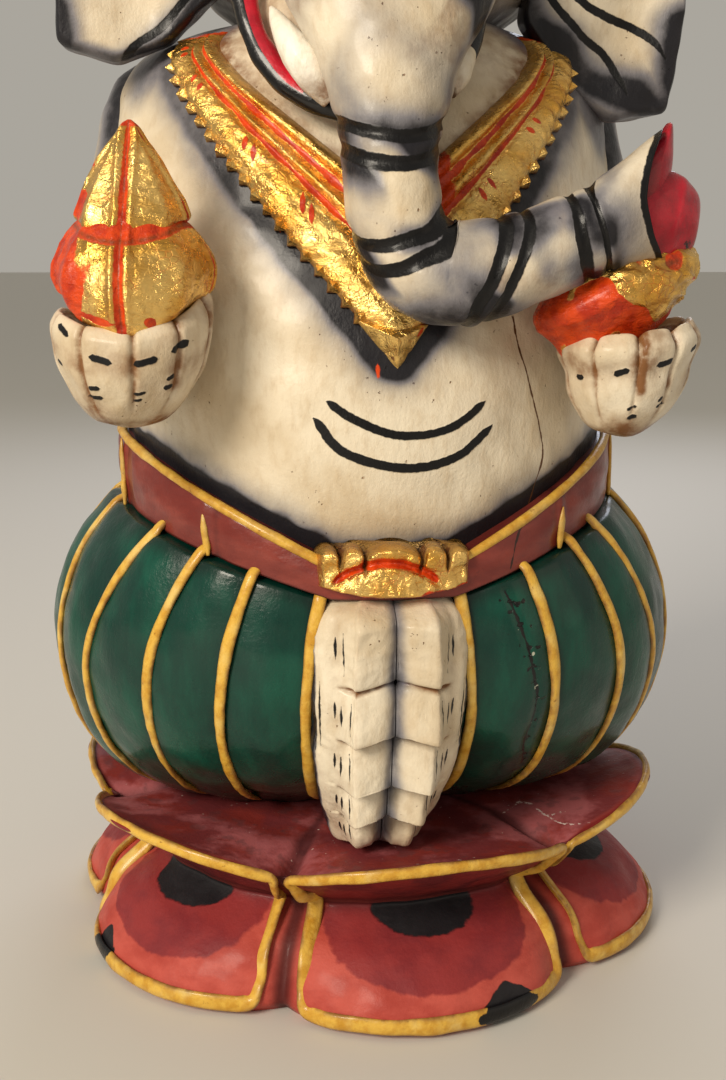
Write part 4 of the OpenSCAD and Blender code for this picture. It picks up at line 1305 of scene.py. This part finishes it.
dash_pairs = ((-0.93, 0.55), (-0.90, 0.55), (-0.80, 0.55), (-0.765, 0.55), (-0.55, 0.60),
              (-0.515, 0.60), (-0.33, 0.60), (-0.295, 0.60), (0.60, 0.55), (0.64, 0.55),
              (0.36, 0.58), (0.40, 0.58))


def necklace_collar():
    """The gilt band over the chest, ridged and lined with vermilion."""
    t = np.linspace(1, -1, 420)[:, None]
    k = np.linspace(0, 1, 96)[None, :]
    height_rows = [
        (0, 1.2), (0.04, 3.6), (0.09, 4.2), (0.13, 3.4), (0.17, 2.0), (0.25, 1.9), (0.29, 3.3),
        (0.33, 4.0), (0.37, 3.2), (0.41, 2.1), (0.46, 2.4), (0.52, 3.4), (0.68, 4.0),
        (0.82, 3.6), (0.93, 2.2), (1, 0.6)]
    d = smooth(height_rows, 1, k) + 0 * t
    end = rise(1 - np.abs(t), 0, 0.03)
    d = d * (0.35 + 0.65 * end)
    top = collar_at(t, k, d)
    uneven = 0.28 * wobble(top, 7, 90) + 0.22 * wobble(top, 2.4, 91) * rise(k, 0.45, 0.55)
    top = top + unit(top * (1, 1, 0)) * uneven[..., None]
    under = collar_at(t, k, -3.0)[:, ::-1]
    red = np.maximum(0.8 - np.abs(k - 0.215) * 24, 0.7 - np.abs(k - 0.43) * 24)
    red = red + 0.3 * wobble(top, 5, 92)
    red = np.maximum(red, 1.2 - (1 - np.abs(t)) * 42)
    for at, mid in dash_pairs:
        ends = [collar_at(at + s * 0.007, mid + s * 0.085, 3.75 + s * 0.15) for s in (-1, 1)]
        red = np.maximum(red, stroke(top, ends, 1.6, 0.35))
    tail = rise(t, -0.1, 0.02) * (1 - rise(t, 0.2, 0.32)) * rise(0.5 - k, 0, 0.1)
    red = np.maximum(red, 2 * tail - 0.8)
    glaze = np.clip(0.8 * bell(k - 0.99, 0.05) + 0.55 * bell(k, 0.03) + 0 * t, 0, 1)
    ring = np.concatenate([top, under], 1)
    zero = np.zeros(top.shape[:2])
    red, glaze = (np.concatenate([v, zero], 1) for v in (layer(red), glaze))
    form = solid(ring, red=red, glaze=glaze)
    make("gilt_collar", form, GILT, "gold_leaf", "necklace_collar")


def necklace_points():
    """A row of small four-sided points along the outer edge of the necklace."""
    forms = []
    rng = np.random.default_rng(7)
    for i in range(collar_points):
        t = 2 * (i + 0.5) / collar_points - 1
        if abs(t) < 0.1:
            continue
        side = np.sign(t)
        here = collar_at(t, 0.955, 1.3)
        along = unit(collar_at(t + 0.01, 0.955, 1.3) - collar_at(t - 0.01, 0.955, 1.3))
        out = unit(here * (1, 1, 0))
        down = unit(np.cross(along, out)) * side
        down = down * np.sign(-down[2])
        size = 2.75 * rng.uniform(0.9, 1.1)
        corners = [here - along * size, here + down * size * 1.05, here + along * size,
                   here - down * size * 0.95]
        tip = here + out * 2.5 * rng.uniform(0.9, 1.15) + down * 0.5
        rings = []
        for lift, share in ((-1.6, 1.0), (0, 1.0), (0.5, 0.5), (0.92, 0.12), (1, 0.02)):
            centre = here + (tip - here) * max(lift, 0) + out * min(lift, 0)
            base = [centre + (c - here) * share for c in corners]
            rings.append(np.concatenate([np.linspace(base[j], base[(j + 1) % 4], 4, endpoint=False)
                                         for j in range(4)]))
        rings = np.array(rings)
        if np.dot(np.cross(rings[0, 4] - rings[0, 0], rings[0, 8] - rings[0, 4]), out) < 0:
            rings = rings[:, ::-1]
        drop = ((rings - here) * down).sum(-1) / size
        low = 1 - np.clip(((rings - here) * out).sum(-1) / 2.5, 0, 1)
        # Brown in the gaps at the foot of each point is glaze; brown on its lower facets is
        # painted shade
        glaze = np.clip(0.75 * rise(drop, 0.05, 0.7) * low + 0.5 * low ** 3, 0, 1)
        forms.append(solid(rings, glaze=glaze))
    make("gilt_collar_points", joined(forms), GILT, "gold_leaf", "necklace_points", flat=True)


def necklace_pendant():
    """A three-sided pyramid hung from the point of the necklace."""
    y = -belly_front * 0.985
    corners = np.array([(-10.5, y, 205.5), (9.5, y, 204), (1.0, y - 0.3, 191.5)])
    tip = np.array([0.4, y - 6.2, 200.5])
    outline = np.concatenate([np.linspace(corners[i], corners[(i + 1) % 3], 24, endpoint=False)
                              for i in range(3)])
    rings = [outline + (0, 3.0, 0)]
    for s in np.concatenate([np.linspace(0, 0.96, 22), [0.985, 0.997]]):
        rings.append(outline * (1 - s) + tip * s)
    p = np.array(rings)[:, ::-1]
    p[1:] = p[1:] + 0.25 * wobble(p[1:], 2.5, 95)[..., None] * np.array((0, 1, 0))
    red = stroke(p, [(-11, y, 206.5), (9, y, 205)], 2.4, 0.5)
    corner = stroke(p, [(6, y - 1, 201), (8.4, y - 1, 203.6)], 2.0, 0.5)
    glaze = bell(p[..., 1] - y, 1.2) * 0.6
    form = solid(p, red=layer(red, corner), glaze=glaze)
    make("gilt_pendant", form, GILT, "gold_leaf", "necklace_pendant")


# ---- head


# Angles, heights, distance out and width of the lines round each eye, its brow and its crease
face_lines = [
    ([13, 22, 33, 44, 52], [324, 331, 333, 330, 324], 1.5, 2.8),
    ([13, 22, 33, 44, 52], [323, 317, 315, 317, 323], 1.5, 2.0),
    ([9, 20, 34, 50, 62], [338, 345, 348, 344, 334], 1.0, 4.4),
    ([14, 24, 36, 48], [334, 339, 340, 336], 1.0, 1.5)]


def head():
    """The head, with the lines round its eyes and the mark on its brow."""
    z = np.linspace(292, 374, 170)[:, None]
    a = np.arange(0, 360, 0.75)[None, :] + 0 * z
    p = head_at(a, z)
    socket = bell(a - 30, 14) + bell(a - 330, 14)
    brow = socket * bell(z - 338, 7)
    p = p + normals(p) * (1.8 * brow - 1.6 * socket * bell(z - 324, 9))[..., None]
    p = lean(carve(p, 0.6, 18, 100))
    strokes = []
    for side in (-1, 1):
        for angles, heights, out, width in face_lines:
            line = lean(head_at(np.array(angles) * side, heights, out))
            strokes.append(stroke(p, spline(line, 8), width))
    for h in (352, 358):
        line = lean(head_at(np.array([-9, 0, 9]), [h, h - 3, h], 0.5))
        strokes.append(stroke(p, spline(line, 8), 1.5))
    haze = 0.55 * bell(z - 292, 10) + 0.45 * (bell(a - 84, 12) + bell(a - 276, 12))
    haze = haze + 0.45 * socket * bell(z - 341, 6) + 0.6 * bell(z - 374, 6)
    in_front = p[..., 1] < 0
    mark = 4.2 - np.hypot(p[..., 0] - 3, (p[..., 2] - 344) * 0.62) * in_front - 40 * ~in_front
    form = solid(p, ink=layer(*strokes), haze=np.clip(haze, 0, 0.95), red=layer(mark))
    make("painted_head", form, CREAM, "cream_paint", "head")


ring_marks = [
    ((-15.6, -86.6, 256.1), (-4.7, -97.8, 252.2), (9.6, -92.9, 253.8), 3.2),
    ((-14.7, -87.9, 249.1), (-4, -98.4, 245.2), (9, -93.3, 247.6), 3.8),
    ((-11.4, -91.5, 226.8), (-2.4, -100.6, 225.2), (9.4, -98.8, 230), 3.2),
    ((-8.5, -92, 219.8), (1.3, -102, 219.7), (13, -100.5, 227), 3.3),
    ((25.8, -99.7, 230.7), (23.7, -106.1, 221.2), (18.7, -101.1, 208.1), 3.6),
    ((31.9, -102.7, 229.9), (28.8, -106.3, 218.7), (24.8, -101.9, 209.1), 2.8),
    ((43.3, -99.2, 236.3), (44.9, -106.1, 226.2), (48.9, -99.5, 216.7), 2.9),
    ((48.8, -100.9, 237.5), (51, -105.6, 228.7), (55, -98.7, 218.7), 2.8)]


def trunk():
    """The trunk: black rings in pairs, creased under them, and flared at its tip."""
    rows = spline(trunk_rows, 22)
    path = rows[:, :3]
    p = rings_along(path, rows[:, 4], rows[:, 3], 160, (0, -1, 0))
    step = np.arange(len(path))[:, None]
    bands, crease, smoke = [], np.zeros(p.shape[:2]), np.zeros(p.shape[:2])
    for left, middle, right, width in ring_marks:
        left, middle, right = map(np.array, (left, middle, right))
        across = unit(np.cross(middle - left, right - left).astype(float))
        i = np.argmin(((path - (left + right) / 2 - (0, 6, 0)) ** 2).sum(1))
        across = across * np.sign(across @ (path[i + 2] - path[i - 2]))
        off = (p - middle) @ across + 0.35 * wobble(p, 8, 114)
        near = np.abs(step - i) < 30
        bands.append(np.where(near, width / 2 - np.abs(off), -9.0))
        crease = np.maximum(crease, np.where(near, bell(off, width * 0.45), 0))
        smoke = np.maximum(smoke, np.where(near, bell(off - 2, 6), 0))
    p = p - normals(p) * (0.8 * crease)[..., None]
    p = carve(p, 0.5, 14, 110)
    tip = rise(step, len(path) - 44, len(path) - 1)
    lift_up, drop = np.maximum(p[..., 2] - 237, 0), np.maximum(237 - p[..., 2], 0)
    near_side = np.clip(-(p[..., 1] + 91) / 13, 0, 1)
    p[..., 0] += tip * (0.62 * lift_up - 0.36 * drop - 8.0 * near_side ** 1.5)
    p[..., 2] += tip * (0.22 * lift_up - 0.16 * drop)
    centre = p[-1].mean(0)
    inner = np.stack([centre + (p[-1] - centre) * s - (3.0 * (1 - s), 0, 0)
                      for s in (0.93, 0.86, 0.8, 0.6, 0.3)])
    smoke = 0.68 * smoke * rise(wobble(p, 8, 111), -0.8, 0.7)
    # Painted shade on the figure's left of the upper trunk, the side away from the key lamp, and
    # on the underside of the curl
    shade = rise(p[..., 0], 9, 22) * (1 - rise(step, 80, 110))
    shade_below = bell(np.maximum(p[..., 2] - 206, 0), 5)
    shade_below = rise(step, 110, 150) * shade_below * (1 - rise(step, 250, 280))
    haze = np.maximum(smoke, 0.9 * shade * rise(wobble(p, 9, 112), -1.1, 0.4))
    haze = np.maximum(haze, 0.55 * shade_below)
    haze = np.clip(haze + 0.25 + 0.15 * wobble(p, 12, 115), 0, 1)
    bands.append(0.9 - np.abs(step - (len(path) - 2)) * 0.45)
    glaze = np.clip(0.35 * rise(wobble(p, 10, 113), 0.2, 0.9) + 0.3 * crease, 0, 1)
    # The inner cap inside the tip's opening is painted dark as painted shade
    more = np.zeros(inner.shape[:2])
    form = solid(
        np.concatenate([p, inner]), ink=np.concatenate([layer(*bands), more]),
        haze=np.concatenate([haze, more + 0.9]), glaze=np.concatenate([glaze, more + 1]))
    make("painted_trunk", form, CREAM, "cream_paint", "trunk")


def lobe(outline):
    """A broad lobe with this outline of x and height, domed towards the viewer."""
    loop = spline(np.array(outline, float)[::-1], 14, closed=True)
    centre = loop.mean(0)
    rings = []
    for share, y in ((0.8, -80), (1, -84), (1, -86.5), (0.97, -87.6), (0.9, -88.6), (0.78, -89.5),
                     (0.6, -90.3), (0.4, -90.9), (0.2, -91.2), (0.02, -91.3)):
        q = centre + (loop - centre) * share
        rings.append(point(q[:, 0], y - 0.42 * (82 - q[:, 0]), q[:, 1]))
    return np.array(rings)


def trunk_lining():
    """The red inside of the trunk's tip: a pointed upper lobe and a broad lower one."""
    upper = lobe([(72.2, 256.5), (73, 250), (72.6, 243), (70.5, 236), (65, 231), (60.5, 236),
                  (60, 242.5), (64, 247.5), (68.8, 252.6)])
    lower = lobe([(70.5, 244), (76, 243), (81.5, 238.5), (82.3, 232), (81, 225.5), (77.5, 220.6),
                  (71, 219.5), (64, 224), (61, 231), (64, 239)])
    upper = shaken(upper, 0.2, 5, 121) + (0, 1.6, 0)
    fold = bell(lower[..., 0] - 73.5 - 0.25 * (lower[..., 2] - 231), 1.6)
    lower[..., 1] -= 0.7 * fold
    lower = shaken(lower, 0.2, 6, 122)
    marks = [stroke(lower, [(75.5, -94, 222.5), (77.5, -93, 228)], 0.9),
             stroke(lower, [(78, -92.5, 222.5), (79.6, -91, 227)], 0.8)]
    # Painted shade: the upper lobe darkens towards the inside of the opening, the lower one under
    # the upper lobe and in its fold
    shade = 0.6 * rise(-upper[..., 0], -70, -63) + 0.2
    deep = 0.35 * rise(lower[..., 2], 238, 243) + 0.3 * bell(lower[..., 0] - 71.5, 2)
    forms = [solid(upper, deep=np.clip(shade, 0, 1)), solid(lower, ink=layer(*marks), deep=deep)]
    make("red_trunk_lining", joined(forms), LIP_RED, "red_paint", "trunk_lining")


lip_path = [
    (-39, -50, 301), (-38.5, -54, 291.5), (-36.5, -57.5, 283), (-33, -60.5, 275.5),
    (-27, -64.5, 268), (-17, -68, 262.5), (-5, -69, 260.5), (8, -67, 263), (18, -62, 271),
    (24, -57, 281), (27, -52, 292)]


def lips():
    """A red roll round the mouth, black on the side that faces away from it."""
    path = spline(lip_path, 12)
    swell = 1 + 0.06 * wobble(path, 6, 120)
    p = rings_along(path, 2.6 * swell, 3.6 * swell, 28, (0, -1, 0.02))
    from_mouth = unit(path - (-4, -62, 292))[:, None]
    outside = ((p - path[:, None]) * from_mouth).sum(-1) - 0.35
    make("painted_lips", solid(p, ink=layer(2.2 * np.sign(outside))), LIP_RED, "red_paint", "lips")


def lower_jaw():
    """The chin, below and behind the lips."""
    lat = np.linspace(-89, 89, 70)[:, None]
    lon = np.arange(0, 360, 3.0)[None, :]
    x, y, z = cosd(lat) * cosd(lon), cosd(lat) * sind(lon), sind(lat) + 0 * lon
    p = point(-6 + 32 * x, -38 + 27 * y - 4 * z, 283 + 23 * z + 5 * y * (z < 0))
    p = carve(p, 0.5, 12, 125)
    make("chin", solid(p, glaze=0.35), CREAM, "cream_paint", "lower_jaw")


def tusk(name, node, points, radii):
    """A tusk along these points, stained brown at its root."""
    rows = spline([(*q, r) for q, r in zip(points, radii)], 14)
    p = rings_along(rows[:, :3], rows[:, 3], rows[:, 3], 40, (0, -1, 0.01))
    p = carve(p, 0.15, 6, 130)
    root = np.linspace(0, 1, len(p))[:, None]
    make(name, solid(p, glaze=0.7 * bell(root, 0.25)), TOOTH, "white_paint", node)


def tusks():
    tusk("right_white_tusk", "right_tusk",
         [(-15, -70, 265.5), (-21, -71, 270.5), (-26.5, -68, 278), (-30, -63, 285),
          (-31.5, -60, 288.5)], (5.0, 5.2, 4.2, 2.2, 0.6))
    tusk("left_short_tusk", "left_tusk",
         [(15, -69, 268), (18, -68, 271), (20, -66, 274), (21.5, -64, 277)], (4.6, 4.4, 3.8, 3.2))


# Points of x and height, and the width, of the lines painted on each ear
shared_ear_lines = [
    ([(47, 318), (49, 305), (53.9, 296.9), (62.5, 287.5), (70.1, 282.4), (74.3, 276.2),
      (77.2, 270.6)], 2.4),
    ([(58, 338), (62, 320), (72, 310), (84, 306), (90, 300)], 2.2),
    ([(66, 345), (72, 332), (82, 326), (88, 320)], 2.0)]
left_ear_line = (
    [(52, 326), (54, 308), (62.2, 297.1), (69.7, 293.3), (78.5, 290.3), (84.9, 286.2),
     (88.8, 281)], 2.5)
dark_ear_edge = [
    (45.7, 297.6), (50.1, 289.2), (56.8, 282.8), (66.1, 274.6), (77.5, 270.1), (88.3, 267.1),
    (93, 274), (94, 290)]
ear_lines = {-1: shared_ear_lines, 1: shared_ear_lines + [left_ear_line]}


def ear(side, name, node):
    """A fan-shaped ear: shallow flutes across its front, sprayed dark round its edge."""
    outline = np.array([(side * x, z) for x, z in ear_outline], float)
    if side > 0:
        outline = outline[::-1]
    loop = []
    count = len(outline)
    for i in range(count):
        a, b, c = outline[i - 1], outline[i], outline[(i + 1) % count]
        r = min(2.8, 0.35 * np.linalg.norm(b - a), 0.35 * np.linalg.norm(c - b))
        start, end = b + unit(a - b) * r, b + unit(c - b) * r
        for s in np.linspace(0, 1, 7):
            loop.append(start * (1 - s) ** 2 + 2 * b * s * (1 - s) + end * s * s)
    loop = np.array(loop)
    lengths = np.concatenate([[0], np.cumsum(np.linalg.norm(np.roll(loop, -1, 0) - loop, axis=1))])
    at = np.linspace(0, lengths[-1], 420, endpoint=False)
    ring = np.stack([np.interp(at, lengths, np.append(loop[:, k], loop[0, k])) for k in (0, 1)], 1)
    centre = np.array([side * 66.0, 312.0])
    shares = np.concatenate([np.linspace(0.02, 0.93, 70), [0.95, 0.965, 0.98, 0.99, 1.0]])
    front = []
    for s in shares:
        q = centre + (ring - centre) * s
        x, z = side * q[:, 0], q[:, 1]
        fan = (x - 40) * 0.62 - (z - 268) * 0.30
        flute = 1.5 * np.sin(2 * np.pi * fan / 19 + 0.4) * rise(x, 44, 62)
        edge = 3.0 * max(0.0, (s - 0.95) / 0.05) ** 2
        front.append(point(q[:, 0], -31 - flute * (1 - s ** 8) - 1.6 * s ** 3 + edge, z))
    front = np.array(front)
    back = front[::-1].copy()
    back[..., 1] = -20 + 1.5 * (1 - shares[::-1, None] ** 4)
    p = np.concatenate([front, back[1:]])[:, ::-1]
    rim = np.concatenate([shares, shares[::-1][1:]])[:, None]
    is_front = (np.arange(len(p)) < len(front))[:, None]
    p = turned(carve(p, 0.4, 12, 141), ear_tilt)
    flat = p * (1, 0, 1)
    strokes = []
    for pts, w in ear_lines[side]:
        line = np.array([(side * x, 0.0, z) for x, z in pts])
        d, s, _ = away(flat, spline(line, 8))
        width = w / 2 * np.clip(np.minimum(s, 1 - s) / 0.2, 0.08, 1) ** 0.6
        strokes.append(np.where(is_front, width - d, -9.0))
    dark_edge = np.array([(side * x, 0.0, z) for x, z in dark_ear_edge])
    band, _, _ = away(flat, spline(dark_edge, 6))
    spray = 1 + 0.25 * wobble(p, 10, 140)
    haze = 0.8 * bell(np.maximum(band - 2, 0), 7.5) + 0.4 * bell(np.maximum(band - 1.5, 0), 2.6)
    haze = np.maximum(haze, 0.7 * rise(rim, 0.86, 0.99)) * spray
    haze = np.where(is_front, haze, 0.35 * rise(rim, 0.7, 1.0))
    under = (1 - is_front) * rise(rim, 0.9, 1.0)
    glaze = np.clip(0.75 * under + 0.3 * bell(rim - 1, 0.02), 0, 1)
    form = solid(p, ink=layer(*strokes), haze=np.clip(haze, 0, 1), glaze=glaze)
    make(name, form, CREAM, "cream_paint", node)


def eye_paint():
    """White with a dark iris, painted from the eye's own layers."""
    paint = Paint("eye_white")
    white = paint.mix(paint.cloud(4, 0.4, 0.7, detail=3), (240, 236, 224), (222, 210, 190))
    colour = paint.mix(paint.painted("iris", 0.15, 0.15), white, (120, 66, 28))
    colour = paint.mix(paint.painted("ink", 0.15, 0.12), colour, (16, 14, 16))
    height = paint.noise(2, 3)
    roughness = paint.cloud(4, 0.3, 0.7, 0.2, 0.32, detail=2)
    return paint.varnish(colour, roughness, height, coat=0.7, depth=0.1)


def eye(side, name, node, paint):
    """An almond-shaped eye, half sunk in the head."""
    lat = np.linspace(-88, 88, 60)[:, None]
    lon = np.arange(0, 360, 4.0)[None, :]
    x, y, z = cosd(lat) * sind(lon), -cosd(lat) * cosd(lon), sind(lat) + 0 * lon
    almond = 1 - 0.35 * np.abs(x) ** 3
    local = point(12 * x, 4.5 * y, 6.2 * z * almond)
    p = about_axis(local, side * 30)
    p = lean(p + np.array((side * 33, -58, 324)))
    reach = np.hypot(local[..., 0] + side, local[..., 2] - 0.6) + 30 * (local[..., 1] > 0)
    rim = np.hypot(local[..., 0] / 12, local[..., 2] / 6.2)
    form = solid(p, iris=layer(4.4 - reach), ink=layer(2.4 - reach, (rim - 0.9) * 8))
    make(name, form, paint, "white_paint", node)


# ---- crown


def crowned(p):
    """Points of the crown's own frame, placed on the leaning head."""
    return lean(p + np.array((0, -6, 0)))


def turned_form(rows, sides, relief, steps):
    """A turned profile of radius and height, with carved relief added to its radius."""
    line = spline(rows, steps)
    z, a = np.broadcast_arrays(line[:, 1:2], np.arange(0, 360, 360 / sides)[None, :])
    r = np.maximum(line[:, :1] + relief(a, z), 0.05)
    return point(r * sind(a), -r * cosd(a), z), a, r, z


def from_middle(a, count):
    """0 in the middle of each of so many flutes or petals and 1 between them."""
    return np.abs((a * count / 360) % 1 - 0.5) * 2


def crown_band():
    """The moulded band of the crown, with a row of petals round its middle."""
    def beads(a, z):
        petal = from_middle(a + 6, 30)
        return 1.2 * np.sqrt(np.clip(1 - petal ** 2, 0, 1)) * bell(z - 369, 2.6) - 0.3
    rows = [(crown_r - 6, 358), (crown_r - 3, 358), (crown_r + 1, 360), (crown_r + 2, 363),
            (crown_r - 0.6, 365.6), (crown_r - 1, 369), (crown_r - 0.6, 372.6),
            (crown_r + 1, 376.4), (crown_r - 1.6, 379), (crown_r - 14, 379.2), (2, 379.2)]
    p, a, r, z = turned_form(rows, 480, beads, 9)
    p = crowned(shaken(p, 0.2, 4, 150))
    red = np.maximum(0.9 - np.abs(z - 365.4), 0.9 - np.abs(z - 373))
    petal = from_middle(a + 6, 30)
    glaze = np.clip(bell(1 - petal, 0.2) * bell(z - 369, 2.4) + rise(-r, -44, -40), 0, 1)
    make("gilt_crown_band", solid(p, red=layer(red), glaze=glaze), GILT, "gold_leaf", "crown_band")


def crown_leaves():
    """Upright leaves round the band, a tall one in front, each with a rib and a red border."""
    leaves, forms = 14, []
    for i in range(leaves):
        tall = 1.5 if i == 0 else 1.0
        v = np.linspace(0, 1, 40)[:, None]
        width_rows = [(0, 8), (0.25, 8.2), (0.4, 7.3), (0.65, 4.6), (0.85, 2.0), (0.97, 0.7),
                      (1, 0.25)]
        half = smooth(width_rows, 1, v) * tall
        s = np.linspace(-1, 1, 33)[None, :]
        z = 20 * tall * v + 0 * s
        x = half * s
        rib = 1.0 * bell(s, 0.12) - 0.6 * bell(np.abs(s) - 0.26, 0.1)
        curl = 2.6 * v ** 2
        front = point(x, -(3.4 + rib - 1.6 * s ** 2) - curl, z)
        back = point(x, -(0.2 + 0.6 * s ** 2) - curl + 0 * z, z)[:, ::-1]
        ring = np.concatenate([front, back], 1)
        edge = 2.4 * (np.abs(s) - 0.86) * half / 4
        border = np.concatenate([edge, np.full(z.shape, -2.0)], 1)
        groove = np.concatenate([0.8 * bell(np.abs(s) - 0.26, 0.08) + 0 * z, 0.6 + 0 * z], 1)
        angle = 360 * i / leaves
        ring = shaken(ring, 0.15, 4, 160 + i)
        ring[..., 1] -= crown_r - 7
        ring[..., 2] += 378.6
        forms.append(solid(crowned(about_axis(ring, angle)), red=layer(border), glaze=groove))
    make("gilt_crown_leaves", joined(forms), GILT, "gold_leaf", "crown_leaves")


def crown_tiers():
    """The two fluted tiers that stand above the band."""
    for name, node, low, rows, count in (
            ("red_crown_tier", "crown_lower_tier", 379,
             [(2, 379), (crown_r - 12, 379.2), (crown_r - 12.6, 382), (crown_r - 13.4, 392),
              (crown_r - 10.6, 396), (crown_r - 11.4, 400), (crown_r - 16, 402), (2, 402.2)], 24),
            ("gilt_crown_tier", "crown_upper_tier", 402,
             [(2, 402), (crown_r - 22, 402.2), (crown_r - 23.6, 406), (crown_r - 25, 414),
              (crown_r - 22.6, 418), (crown_r - 23.4, 422), (crown_r - 28, 424), (2, 424.2)], 18)):

        def flutes(a, z):
            round_flute = np.sqrt(np.clip(1 - from_middle(a, count) ** 2, 0, 1))
            ends = rise(z, low + 1, low + 4) * (1 - rise(z, low + 12, low + 14))
            return 1.1 * round_flute * ends
        p, a, _, z = turned_form(rows, 432, flutes, 10)
        p = crowned(shaken(p, 0.2, 5, 170))
        share = from_middle(a, count)
        in_band = rise(z, low + 1, low + 2) * (1 - rise(z, low + 13, low + 14))
        red = (share - 0.72) * 4 * in_band - 2 * (1 - in_band)
        if node == "crown_lower_tier":
            red = np.maximum(red, 3 * in_band - 2)
        red = np.maximum(red, 0.7 - np.abs(z - low - 15.3))
        glaze = 0.7 * bell(1 - share, 0.16) * in_band
        make(name, solid(p, red=layer(red), glaze=glaze), GILT, "gold_leaf", node)


def crown_finial():
    """The knob on top, like a closed bud."""
    def lobes(a, z):
        return 0.7 * np.abs(cosd(a * 4)) * bell(z - 440, 6) * (z < 451.7)
    rows = [(2, 424), (17, 424.2), (16.6, 426), (15, 430), (10.4, 433), (11.4, 436), (13.2, 440),
            (11.6, 444), (6.4, 449), (2.4, 453.6), (0.6, statue_h - 0.2)]
    p, a, _, z = turned_form(rows, 240, lobes, 10)
    p = crowned(shaken(p, 0.12, 4, 180))
    red = np.maximum(0.9 - np.abs(z - 432.6), 0.6 - np.abs(z - 426.8))
    glaze = 0.6 * (1 - np.abs(cosd(a * 4))) ** 3 * bell(z - 440, 7)
    make("gilt_finial", solid(p, red=layer(red), glaze=glaze), GILT, "gold_leaf", "crown_finial")


# ---- stage, lights and camera


def stage_and_lights():
    """A pale floor, a pale surround and three soft lamps."""
    floor_mesh = bpy.data.meshes.new("floor")
    half = 40.0
    corners = [(-half, -half, 0), (half, -half, 0), (half, half, 0), (-half, half, 0)]
    floor_mesh.from_pydata(corners, [], [(0, 1, 2, 3)])
    floor = bpy.data.objects.new("floor", floor_mesh)
    bpy.context.scene.collection.objects.link(floor)
    pale = bpy.data.materials.new("pale_floor")
    pale.use_nodes = True
    shader = pale.node_tree.nodes["Principled BSDF"]
    shader.inputs["Base Color"].default_value = linear((206, 202, 194))
    shader.inputs["Roughness"].default_value = 0.7
    floor_mesh.materials.append(pale)
    world = bpy.data.worlds.new("studio")
    world.use_nodes = True
    background = world.node_tree.nodes["Background"]
    background.inputs["Color"].default_value = linear((232, 226, 214))
    background.inputs["Strength"].default_value = 0.5
    bpy.context.scene.world = world
    middle_of_statue = Vector((0, 0, 0.19))
    for name, place, size, watts, tint in (
            ("key", (-0.85, -0.95, 0.85), 0.5, 19.0, (255, 244, 226)),
            ("fill", (1.1, -0.8, 0.45), 0.9, 1.0, (255, 228, 200)),
            ("back", (0.3, 1.0, 0.9), 0.7, 5.0, (236, 240, 255))):
        lamp = bpy.data.lights.new(name, "AREA")
        lamp.size = size
        lamp.energy = watts
        lamp.color = linear(tint)[:3]
        obj = bpy.data.objects.new(name, lamp)
        obj.location = place
        obj.rotation_mode = "QUATERNION"
        obj.rotation_quaternion = (middle_of_statue - Vector(place)).to_track_quat("-Z", "Y")
        bpy.context.scene.collection.objects.link(obj)


def camera():
    """Close in front, a little to the figure's right and above it, looking down at it."""
    lens = bpy.data.cameras.new("camera")
    lens.sensor_width = 36
    lens.lens = 43.33
    eye_point = bpy.data.objects.new("camera", lens)
    eye_point.location = (-0.0459, -0.4366, 0.220)
    pitch, yaw = 11.95, 6.0
    look = Vector((sind(yaw) * cosd(pitch), cosd(yaw) * cosd(pitch), -sind(pitch)))
    eye_point.rotation_mode = "QUATERNION"
    eye_point.rotation_quaternion = look.to_track_quat("-Z", "Y")
    bpy.context.scene.collection.objects.link(eye_point)
    bpy.context.scene.camera = eye_point
    bpy.context.scene.view_settings.view_transform = "Standard"


# ---- the statue

camera()
stage_and_lights()
lotus_pedestal()
petal_edging()
trousers()
trouser_stripes()
sash()
sash_piping()
belt_clasp()
foot(-1, "right_sole", 0.52, 1.05)
foot(1, "left_sole", 0.56, 0.985)
torso()
arm(-1, "right_painted_arm")
arm(1, "left_painted_arm")
hands()
bud()
offered_sweet()
necklace_collar()
necklace_points()
necklace_pendant()
head()
trunk()
trunk_lining()
lips()
lower_jaw()
tusks()
ear(-1, "right_painted_ear", "right_ear")
ear(1, "left_painted_ear", "left_ear")
EYE = eye_paint()
eye(-1, "right_painted_eye", "right_eye", EYE)
eye(1, "left_painted_eye", "left_eye", EYE)
crown_band()
crown_leaves()
crown_tiers()
crown_finial()
